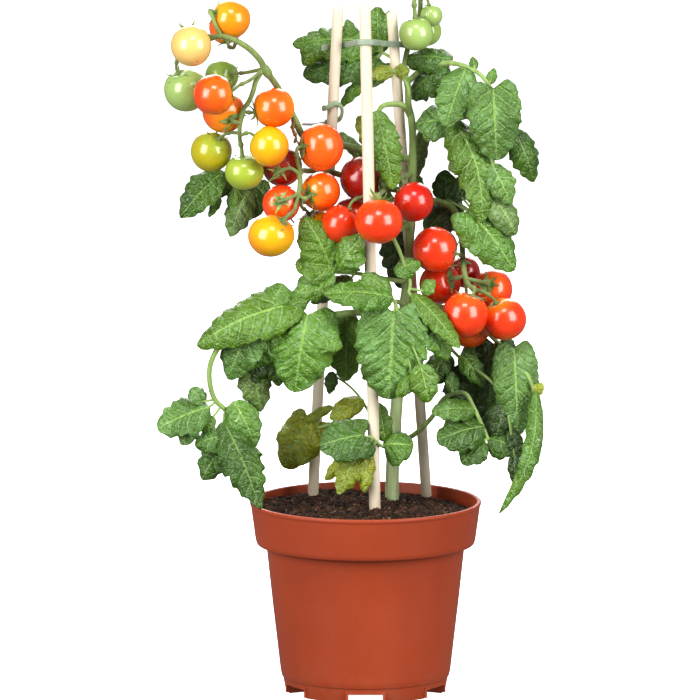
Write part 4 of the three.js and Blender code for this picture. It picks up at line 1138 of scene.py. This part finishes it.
# %% Truss stalks
KNUCKLE_FROM_FRUIT = 8.5 * MM
DIMPLE = 0.86
TRUSS_GREEN = linear(118, 136, 74)
WITHERED = linear(128, 92, 48)
TRUSS_SIDES = 14


def fruit_at(truss, point):
    """The number and the size of the tomato whose middle is this point, or None."""
    for number, (centre, radius, half, _) in enumerate(TOMATOES[truss]):
        if centre == point:
            return number, np.array((radius, radius, half)) * MM
    return None


def stalk_axis(points):
    """The unit way from a tomato's middle towards the last point of its stalk."""
    return unit(at(*points[-2]) - at(*points[-1]))


def stalk_end(points, size):
    """Where a stalk meets the skin: the bottom of the tomato's dimple."""
    return at(*points[-1]) + stalk_axis(points) * size * DIMPLE


def side_stalk_radii(path, radius, ends_in_fruit):
    """A gentle taper, with the knuckle and the wide end where a tomato hangs."""
    s = travelled(path)
    left = s[-1] - s
    radii = radius * MM * (1 - 0.3 * s / s[-1])
    if ends_in_fruit:
        knuckle = min(KNUCKLE_FROM_FRUIT, 0.55 * s[-1])
        radii = radii * (1 + 0.5 * np.exp(-((left - knuckle) / (1.1 * MM)) ** 2))
        radii = radii * (1 - 0.14 * np.exp(-((left - knuckle + 2.0 * MM) / (1.0 * MM)) ** 2))
        radii = radii * (1 + 0.55 * np.exp(-(left / (1.6 * MM)) ** 2))
    return radii


def truss_batch(name):
    batch = Batch()
    random = np.random.default_rng(300 + len(name))
    for radius, points in TRUSSES[name]:
        fruit = fruit_at(name, points[-1])
        stops = [at(*p) for p in points]
        if fruit:
            stops[-1] = stalk_end(points, fruit[1])
        path = smooth_path(stops, 0.8 * MM)
        radii = side_stalk_radii(path, radius, fruit is not None)
        tint = TRUSS_GREEN * random.uniform(0.85, 1.15)
        batch.add(*tube_shape(path, radii, TRUSS_SIDES, ridge=0.03), tint)
    return batch


def withered_tube(batch, points, radius):
    path = smooth_route(points, 0.7 * MM)
    s = np.linspace(0, 1, len(path))
    radii = radius * MM * (1.0 + 0.25 * np.sin(23 * s) + 0.15 * np.sin(41 * s)) * (1 - 0.5 * s)
    batch.add(*tube_shape(path, radii, 9), WITHERED)


truss_batches = {name: truss_batch(name) for name in TRUSSES}
knot = smooth_route([(-57.5, 375, -1), (-60, 379, -4), (-62.5, 383, -6)], 0.6 * MM)
knot_radii = [1.9 * MM, 2.9 * MM, 2.8 * MM, 1.7 * MM]
truss_batches["left_upper"].add(*tube_shape(knot, knot_radii, 16), TRUSS_GREEN)
withered_tube(truss_batches["left_upper"],
              [(-43, 349, 12), (-44, 344, 8), (-42, 338, 6), (-43, 335, 5)], 1.5)
withered_tube(truss_batches["left_lower"],
              [(-40, 303, -3), (-43, 296, -4), (-45, 289, -2), (-43, 286, 0)], 0.8)
for name, batch in truss_batches.items():
    node = "truss_" + name
    piece(node + "_grown", batch.mesh(node), stalk_skin, node)
print("truss faces:", {name: len(batch.faces) for name, batch in truss_batches.items()})

# %% [markdown]
# The main stem is one long taper. It swells a little wherever a leaf or a truss leaves it, and
# low down it is greyer. Its section is slightly ribbed.

# %% Main stem
STEM_ROUTE = [
    (15.5, 100, 21), (16, 117, 21), (16.5, 140, 22), (18.5, 170, 24), (21, 200, 26),
    (24, 235, 27), (26.5, 270, 27), (27.5, 300, 27), (28.5, 330, 27), (28, 348, 28),
    (25.8, 360, 31), (25.5, 370, 32), (23, 380, 33),
]
STEM_FOOT_RADIUS, STEM_TOP_RADIUS = 4.3, 1.7
STEM_TOP_GREEN, STEM_FOOT_GREEN = linear(132, 160, 84), linear(160, 172, 128)
JOINT_SWELLING, JOINT_REACH = 0.1, 4 * MM
STEM_SIDES = 28

joints = [stalks[0][1][0] for stalks, blades in LEAVES.values()]
joints += [stalks[0][1][0] for stalks in TRUSSES.values()]
joint_heights = [at(*p)[2] for p in joints]

stem_path = smooth_route(STEM_ROUTE, 1.2 * MM)
t = np.linspace(0, 1, len(stem_path))
stem_radii = (STEM_FOOT_RADIUS + (STEM_TOP_RADIUS - STEM_FOOT_RADIUS) * t) * MM
for z in joint_heights:
    stem_radii *= 1 + JOINT_SWELLING * np.exp(-((stem_path[:, 2] - z) / JOINT_REACH) ** 2)
stem_points, stem_faces = tube_shape(stem_path, stem_radii, STEM_SIDES, ridge=0.035)
foot, top = stem_path[0, 2], stem_path[-1, 2]
rise = np.clip((stem_points[:, 2:] - foot) / (top - foot), 0, 1)
stem_batch = Batch()
stem_tints = STEM_FOOT_GREEN + rise * (STEM_TOP_GREEN - STEM_FOOT_GREEN)
stem_batch.add(stem_points, stem_faces, stem_tints)
piece("main_stem_grown", stem_batch.mesh("main_stem"), stalk_skin, "main_stem")

# %% [markdown]
# Fine pale hairs cover the stem and the trusses, and crumbs and fibres cover the soil. All of
# them are small shapes strewn over a surface, so one Geometry Nodes tree makes them all: points
# on faces, a random lean and size, one instance of a small shape at each point, then real
# geometry and its material. Fixed seeds give the same result each time. What comes after the
# points is the same in the sepals' tree, so one function adds it to both.

# %% Tree: strew a shape over a surface
def instancing_tree(name, inputs, output, points_for):
    """A tree that sets the shape on points. points_for gives the points, their turn and size."""
    tree = bpy.data.node_groups.new(name, "GeometryNodeTree")
    for socket, kind in inputs:
        tree.interface.new_socket(socket, in_out="INPUT", socket_type="NodeSocket" + kind)
    tree.interface.new_socket(output, in_out="OUTPUT", socket_type="NodeSocketGeometry")
    t = Nodes(tree)
    given = t.node("NodeGroupInput").outputs
    points, turn, size = points_for(t, given)
    shape = t.node("GeometryNodeObjectInfo", {"Object": given["Shape"]})
    copies = t.node("GeometryNodeInstanceOnPoints", {
        "Points": points, "Instance": shape.outputs["Geometry"], "Rotation": turn, "Scale": size})
    real = t.node("GeometryNodeRealizeInstances", {"Geometry": copies.outputs["Instances"]})
    finish = t.node("GeometryNodeSetMaterial", {
        "Geometry": real.outputs["Geometry"], "Material": given["Finish"]})
    t.node("NodeGroupOutput", {output: finish.outputs["Geometry"]})
    return tree


def strewn_points(t, given):
    """Points over the surface that lean at random, with a random size for each."""
    seed = given["Seed"]
    points = t.node("GeometryNodeDistributePointsOnFaces", {
        "Mesh": given["Surface"], "Density": given["Per Square Metre"], "Seed": seed})
    lean = t.node("FunctionNodeRandomValue", {"Seed": seed}, data_type="FLOAT_VECTOR")
    for end, sign in (("Min", -1.0), ("Max", 1.0)):
        side = t.node("ShaderNodeMath", {0: given["Lean"], 1: sign}, operation="MULTIPLY")
        angles = t.node("ShaderNodeCombineXYZ", {
            "X": side.outputs[0], "Y": side.outputs[0], "Z": sign * math.pi})
        t.set(lean.inputs[end], angles.outputs["Vector"])
    turn = t.node("FunctionNodeEulerToRotation", {"Euler": lean.outputs["Value"]})
    turned = t.node("FunctionNodeRotateRotation", {
        "Rotation": points.outputs["Rotation"], "Rotate By": turn.outputs["Rotation"]},
        rotation_space="LOCAL")
    size = t.node("FunctionNodeRandomValue", {"Seed": seed}, data_type="FLOAT")
    smallest, largest = [s for s in size.inputs if s.enabled and s.name in ("Min", "Max")]
    t.set(smallest, given["Smallest"])
    t.set(largest, given["Largest"])
    sizes = [s for s in size.outputs if s.enabled][0]
    return points.outputs["Points"], turned.outputs["Rotation"], sizes

# %% Meshes that a tree grows
def grown_mesh(tree, base, inputs, name):
    """Run the tree on a base mesh and keep the result as a plain mesh."""
    carrier = in_scene(name + "_base", base)
    modifier = carrier.modifiers.new(name, "NODES")
    modifier.node_group = tree
    for socket in tree.interface.items_tree:
        if socket.in_out == "INPUT" and socket.name in inputs:
            modifier[socket.identifier] = inputs[socket.name]
    depsgraph = bpy.context.evaluated_depsgraph_get()
    made = bpy.data.meshes.new_from_object(
        carrier.evaluated_get(depsgraph), preserve_all_data_layers=True, depsgraph=depsgraph)
    made.name = name
    carrier.modifiers.remove(modifier)
    bpy.data.objects.remove(carrier)
    return made


def strewn_over(base, name, shape, density, smallest, largest, lean, seed, finish):
    return grown_mesh(strew, base, {
        "Shape": shape, "Per Square Metre": density, "Smallest": smallest, "Largest": largest,
        "Lean": lean, "Seed": seed, "Finish": finish}, name)


def shape_object(name, points, faces):
    mesh = bpy.data.meshes.new(name)
    mesh.from_pydata(np.asarray(points).tolist(), [], faces)
    mesh.shade_smooth()
    return bpy.data.objects.new(name, mesh)


strew = instancing_tree("strew_over_surface", (
    ("Surface", "Geometry"), ("Shape", "Object"), ("Per Square Metre", "Float"),
    ("Smallest", "Float"), ("Largest", "Float"), ("Lean", "Float"), ("Seed", "Int"),
    ("Finish", "Material")), "Strewn", strewn_points)
print("tree inputs:", [s.name for s in strew.interface.items_tree if s.in_out == "INPUT"])

# %% [markdown]
# A hair is a thin cone about a millimetre long. It stands on the skin and leans a little. The
# hairs catch the light and give the stem its soft grey outline.

# %% Hairs on the stem and the trusses
HAIR_RADIUS, HAIR_LENGTH, HAIR_ROOT = 0.045 * MM, 1.0 * MM, -0.1 * MM
STEM_HAIRS, TRUSS_HAIRS = 450000.0, 300000.0
SHORTEST_HAIR, LONGEST_HAIR, HAIR_LEAN = 0.5, 1.3, 0.6


def hair_finish():
    f = Finish("hair_finish", Roughness=0.6, Specular_IOR_Level=0.3)
    f.colour(f.mix(f.noise(120.0), (196, 206, 168), (220, 224, 198)))
    return f.material


hair_points = [(HAIR_RADIUS * math.cos(a), HAIR_RADIUS * math.sin(a), HAIR_ROOT)
               for a in (0, 2.1, 4.2)] + [(0, 0, HAIR_LENGTH)]
hair_shape = shape_object("hair", hair_points, [(0, 2, 1), (0, 1, 3), (1, 2, 3), (2, 0, 3)])
hair_skin = hair_finish()
hairy = [("main_stem", stem_batch, STEM_HAIRS)]
hairy += [("truss_" + truss, batch, TRUSS_HAIRS) for truss, batch in truss_batches.items()]
hair_faces = 0
for name, batch, density in hairy:
    hairs = strewn_over(batch.mesh(name + "_skin"), name + "_hairs", hair_shape, density,
                        SHORTEST_HAIR, LONGEST_HAIR, HAIR_LEAN, len(name), hair_skin)
    piece(name + "_hairs", hairs, hair_skin)
    hair_faces += len(hairs.polygons)
bpy.data.objects.remove(hair_shape)
print("hair faces:", hair_faces)

# %% [markdown]
# A tomato is nearly a ball, a little flat at the stalk, where the skin dips to the dimple, with
# the faintest of lobes. Each one is a turned shape about the way its own stalk leaves it, so its
# dimple, its lobes and its colours all follow that stalk. The colours are stored on the points.

# %% Tomato shape
FRUIT_SIDES, FRUIT_RINGS = 48, 32


def step_between(value, low, high):
    t = np.clip((value - low) / (high - low), 0, 1)
    return t * t * (3 - 2 * t)


def frame_about(axis, spin):
    """Three unit vectors: two that lie across the axis, turned by spin, and the axis."""
    side = unit(np.cross(axis, (0.23, 0.31, 0.92)))
    other = np.cross(axis, side)
    return np.stack([math.cos(spin) * side + math.sin(spin) * other,
                     -math.sin(spin) * side + math.cos(spin) * other, axis])


def fruit_shape(centre, size, axis, random, pointed):
    """Points and faces, with each point's angle from the stalk as a share of half a turn, and
    its turn about the stalk."""
    theta = np.linspace(math.pi, 0, FRUIT_RINGS + 1)
    reach = 1 - (1 - DIMPLE) * np.exp(-(theta / 0.27) ** 2)
    reach = reach + 0.02 * np.exp(-((theta - 0.8) / 0.35) ** 2)
    reach = reach - 0.02 * np.exp(-((math.pi - theta) / 0.3) ** 2)
    reach = reach + pointed * np.exp(-((math.pi - theta) / 0.4) ** 2)
    outline = list(zip(reach * np.sin(theta), reach * np.cos(theta)))
    outline[0], outline[-1] = (0.0, outline[0][1]), (0.0, outline[-1][1])
    points, faces = turned_shape(outline, FRUIT_SIDES)
    turn = np.arctan2(points[:, 1], points[:, 0])
    off_axis = np.hypot(points[:, 0], points[:, 1])
    share = np.arctan2(off_axis, points[:, 2]) / math.pi
    lobes = 1 + random.uniform(0.004, 0.012) * off_axis * np.cos(3 * turn)
    lobes += random.uniform(0.004, 0.01) * off_axis * np.cos(2 * turn + random.uniform(0, 6))
    world = (points * lobes[:, None]) @ frame_about(axis, random.uniform(0, 6))
    return centre + world * size, faces, share, turn


def skin_tints(names, share, turn, random):
    stalk, middle, end = (linear(*SKIN[name]) for name in names.split())
    side = 0.07 * np.cos(turn + random.uniform(0, 6))
    first = step_between(share + side, 0.06, 0.42)[:, None]
    second = step_between(share + side, 0.5, 0.95)[:, None]
    tint = stalk + (middle - stalk) * first
    return tint + (end - tint) * second

# %% Tomato skin, and the tomatoes
def tomato_finish():
    f = Finish("tomato_skin", Roughness=0.24, Specular_IOR_Level=0.75, Coat_Weight=0.3,
               Coat_Roughness=0.12)
    share = f.parts(f.attribute("place", "Vector"))["X"]
    tint = f.tint()
    patch = f.ramp(f.noise(90.0), 0.35, 0.75, 0.0, 0.22)
    specks = f.ramp(f.cells(1500.0, "F1"), 0.22, 0.1)
    f.colour(f.over(
        tint,
        (f.times(patch, f.ramp(f.green(tint), 0.3, 0.1)), (228, 96, 34)),
        (f.times(specks, f.ramp(share, 0.5, 0.1), 0.3), (244, 206, 130)),
        (f.times(f.ramp(share, 0.075, 0.03), 0.7), (120, 110, 44)),
        (f.ramp(share, 0.982, 0.992), (120, 74, 40))))
    f.roughness(f.ramp(f.noise(300.0), 0.3, 0.7, 0.2, 0.28))
    f.bump(f.noise(260.0, 2.0), 0.00012, 0.25)
    return f.material


POINTED = {("left_lower", 1): 0.06}
tomato_skin = tomato_finish()
fruit_axes = {}
for truss, fruits in TOMATOES.items():
    for _, points in TRUSSES[truss]:
        found = fruit_at(truss, points[-1])
        if not found:
            continue
        number, size = found
        random = np.random.default_rng(1000 + 50 * len(truss) + number)
        centre, axis = at(*points[-1]), stalk_axis(points)
        fruit_axes[truss, number] = (centre, size, axis)
        shape, faces, share, turn = fruit_shape(centre, size, axis, random,
                                                POINTED.get((truss, number), 0.0))
        tints = skin_tints(fruits[number][3], share, turn, random)
        node = f"tomato_{truss}_{number + 1}"
        mesh = one_mesh(node, shape, faces, tints, np.stack([share, turn, 0 * turn], axis=1))
        piece(node + "_ripe", mesh, tomato_skin, node)
print("tomatoes made:", len(fruit_axes))

# %% [markdown]
# Five or six sepals make a green star where each tomato hangs. They arch off the skin and their
# tips curl. One sepal is modelled, and a second Geometry Nodes tree sets a copy of it on every
# point of a plain list, with the turn and the size that the point carries.

# %% Tree: one shape on every listed point
def listed_points(t, given):
    """The points of a list, with the turn and the size stored on each."""
    turn, size = [
        t.node("GeometryNodeInputNamedAttribute", {"Name": name},
               data_type="FLOAT_VECTOR").outputs["Attribute"] for name in ("turn", "size")]
    turned = t.node("FunctionNodeEulerToRotation", {"Euler": turn})
    return given["Points"], turned.outputs["Rotation"], size

# %% Sepals and stars
SEPAL_LENGTH = 10.5 * MM
SEPAL_HALF_WIDTH = 1.5 * MM
SEPAL_ROWS, SEPAL_COLUMNS = 15, 5
LIFTED = {("centre", 1): 34, ("centre", 2): 22, ("left_upper", 9): -28, ("left_upper", 8): -10,
          ("left_lower", 3): 14, ("right", 4): 12}


def sepal_shape():
    """A narrow closed leaf along X that arches, folds and curls up at its tip."""
    u = np.linspace(0, 1, SEPAL_ROWS)[:, None]
    s = np.linspace(-1, 1, SEPAL_COLUMNS)[None, :]
    width = SEPAL_HALF_WIDTH * (0.55 + 0.45 * np.sin(math.pi * np.minimum(1, u * 1.5 + 0.1)))
    width = width * (1 - u ** 2.2) ** 0.9 + 0.06 * MM
    x = SEPAL_LENGTH * (u - 0.06 * u ** 3) + 0 * s
    y = s * width + 0.5 * MM * np.sin(5.2 * u)
    arch = SEPAL_LENGTH * (0.16 * u - 0.5 * u ** 2 + 0.47 * u ** 3.4)
    z = arch + 0.35 * np.abs(s) * width
    thick = (0.6 - 0.36 * u) * MM * (1 - 0.6 * s ** 2)
    sheets = [np.stack([x, y, z + way * thick], axis=2) for way in (0.5, -0.5)]
    return np.concatenate(sheets).reshape(-1, 3), grid_faces(SEPAL_ROWS, SEPAL_COLUMNS)


def star_points(truss, first_seed):
    """For every sepal of a truss: its foot, its turn as Euler angles, and its size."""
    feet, turns, sizes = [], [], []
    for (name, number), (centre, size, axis) in fruit_axes.items():
        if name != truss:
            continue
        random = np.random.default_rng(first_seed + number)
        count = int(random.choice((5, 6)))
        start = random.uniform(0, 6)
        lift = LIFTED.get((truss, number), random.uniform(-8, 12))
        for k in range(count):
            spin = start + 2 * math.pi * (k + random.uniform(-0.16, 0.16)) / count
            out, _, up = frame_about(axis, spin)
            tilt = math.radians(lift + random.uniform(-12, 12))
            way = math.cos(tilt) * out + math.sin(tilt) * up
            above = math.cos(tilt) * up - math.sin(tilt) * out
            turn = Matrix(np.stack([way, np.cross(above, way), above]).T.tolist()).to_euler()
            feet.append(centre + axis * size * (DIMPLE + 0.015) + 0.5 * MM * out)
            turns.append(tuple(turn))
            grow = random.uniform(0.7, 0.96) * np.mean(size) / (12 * MM)
            sizes.append((grow, grow * random.uniform(1.1, 1.5), grow))
    return feet, turns, sizes


def calyx_finish():
    f = Finish("sepal_skin", Roughness=0.5, Specular_IOR_Level=0.4, Sheen_Weight=0.2)
    f.colour(f.over((96, 120, 54), (f.ramp(f.noise(220.0), 0.3, 0.7), (146, 166, 90)),
                    (f.ramp(f.noise(60.0), 0.6, 0.8, 0.0, 0.5), (160, 166, 100))))
    f.bump(f.noise(1200.0), 0.0002, 0.5)
    return f.material


sepal = shape_object("sepal", *sepal_shape())
setting = instancing_tree("set_on_points", (
    ("Points", "Geometry"), ("Shape", "Object"), ("Finish", "Material")), "Set", listed_points)
sepal_skin = calyx_finish()
for truss in TOMATOES:
    feet, turns, sizes = star_points(truss, 3000 + 50 * len(truss))
    points = bpy.data.meshes.new("stars_" + truss)
    points.from_pydata([tuple(foot) for foot in feet], [], [])
    for name, values in (("turn", turns), ("size", sizes)):
        points.attributes.new(name, "FLOAT_VECTOR", "POINT").data.foreach_set(
            "vector", np.array(values, dtype=float).ravel())
    stars = grown_mesh(setting, points, {"Shape": sepal, "Finish": sepal_skin}, "calyx_" + truss)
    piece("calyx_" + truss, stars, sepal_skin)
    print("sepals on", truss, len(feet))
bpy.data.objects.remove(sepal)

# %% [markdown]
# The peat fills the pot to just under the rim. Its top is a grid of rings, pushed up and down by
# noise: higher at the back left, low at the front. Crumbs, lumps and light fibres are strewn on
# it with the same tree as the hairs. Below the top the fill is the plain solid that the pot holds.

# %% Soil
SOIL_EDGE_RADIUS, SOIL_EDGE, SOIL_CROWN = 65.0 * MM, 108.5 * MM, 113.5 * MM
SOIL_BELOW = [
    (0, 7.3), (48, 7.3), (49.1, 10.5), (54.4, 55), (57.9, 87.4), (64.2, 92.4), (65.8, 105.5),
]
SOIL_SIDES, SOIL_RINGS = 180, 62


def soil_height(x, y):
    r = math.hypot(x, y) / SOIL_EDGE_RADIUS
    dome = SOIL_EDGE + (SOIL_CROWN - SOIL_EDGE) * (1 - min(1, r) ** 2)
    tilt = 1.6 * MM * (y - x) / SOIL_EDGE_RADIUS
    hills = 2.0 * MM * noise.fractal(Vector((x, y, 0.3)) * 45.0, 1.0, 2.0, 3)
    clods = 1.7 * MM * noise.fractal(Vector((x, y, 1.7)) * 210.0, 0.8, 2.0, 4)
    return dome + tilt + hills + clods


outline = [(r * MM, z * MM) for r, z in SOIL_BELOW]
outline += [(SOIL_EDGE_RADIUS * (1 - k / SOIL_RINGS), SOIL_EDGE) for k in range(SOIL_RINGS + 1)]
soil_points, soil_faces = turned_shape(outline, SOIL_SIDES)
first_top = 1 + (len(SOIL_BELOW) - 1) * SOIL_SIDES
for point in soil_points[first_top:]:
    point[2] = soil_height(point[0], point[1])


def peat_finish():
    f = Finish("peat", Roughness=0.9, Specular_IOR_Level=0.25)
    grains = f.noise(520.0, 5.0, 0.65)
    lumps = f.noise(120.0)
    flecks = f.ramp(f.cells(900.0, "F1"), 0.16, 0.06)
    f.colour(f.over(
        (19, 10, 5),
        (f.ramp(grains, 0.36, 0.66), (72, 46, 30)),
        (f.ramp(lumps, 0.45, 0.75, 0.0, 0.45), (116, 82, 56)),
        (f.times(flecks, f.ramp(lumps, 0.4, 0.7)), (150, 118, 80))))
    f.bump(f.math("ADD", grains, f.noise(1500.0)), 0.0012, 0.9)
    return f.material


def crumb_finish(name, dark, light):
    f = Finish(name, Roughness=0.85, Specular_IOR_Level=0.3)
    f.colour(f.mix(f.ramp(f.noise(260.0, 4.0), 0.35, 0.7), dark, light))
    f.bump(f.noise(1400.0, 4.0), 0.0005, 0.8)
    return f.material


soil_mesh = one_mesh("potting_soil", soil_points, soil_faces, linear(40, 26, 18))
piece("potting_soil_fill", soil_mesh, peat_finish(), "potting_soil")
print("soil top, mm:", round(soil_points[first_top:, 2].min() / MM, 1),
      round(soil_points[:, 2].max() / MM, 1))

# %% [markdown]
# Each kind of crumb is a small shape of its own. STREWN gives its name and shape, how many lie on
# a square metre, the smallest and the largest size, the lean in radians, and the finish.

# %% Crumbs, lumps and fibres on the soil
def crumb_shape(seed, flat):
    ball = bmesh.new()
    bmesh.ops.create_icosphere(ball, subdivisions=1, radius=1.0 * MM)
    points = []
    for vertex in ball.verts:
        push = 1 + 0.45 * noise.noise(vertex.co / MM * 1.1 + Vector((seed, 0, 0)))
        points.append((vertex.co.x * push, vertex.co.y * push * 0.8, vertex.co.z * push * flat))
    faces = [[vertex.index for vertex in face.verts] for face in ball.faces]
    ball.free()
    return points, faces


def fibre_shape():
    path = [np.array((x, 0.12 * x * math.sin(2.4 * x), 0.25 + 0.06 * x * x)) * MM
            for x in np.linspace(-3, 3, 7)]
    return tube_shape(np.array(path), [0.12 * MM, 0.2 * MM, 0.1 * MM], 5)


bed = bpy.data.meshes.new("soil_top")
top_faces = [face for face in soil_faces if min(face) >= first_top + 2 * SOIL_SIDES]
bed.from_pydata(soil_points.tolist(), [], top_faces)
dark_crumbs = crumb_finish("dark_crumbs", (24, 13, 7), (80, 53, 35))
brown_crumbs = crumb_finish("brown_crumbs", (74, 49, 32), (138, 104, 72))
pale_fibres = crumb_finish("pale_fibres", (150, 126, 96), (190, 170, 140))
STREWN = (
    ("peat_crumbs", crumb_shape(1.3, 0.8), 240000.0, 0.25, 0.9, 0.8, dark_crumbs),
    ("peat_lumps", crumb_shape(5.1, 0.7), 34000.0, 0.9, 2.8, 0.5, dark_crumbs),
    ("bark_bits", crumb_shape(8.6, 0.35), 26000.0, 0.5, 1.5, 0.9, brown_crumbs),
    ("peat_fibres", fibre_shape(), 12000.0, 0.3, 0.8, 0.45, pale_fibres),
)
for seed, (name, shape, density, smallest, largest, lean, finish) in enumerate(STREWN, 11):
    crumb = shape_object(name + "_one", *shape)
    strewn = strewn_over(bed.copy(), name, crumb, density, smallest, largest, lean, seed, finish)
    bpy.data.objects.remove(crumb)
    piece(name, strewn, finish)
    print(name, "faces:", len(strewn.polygons))
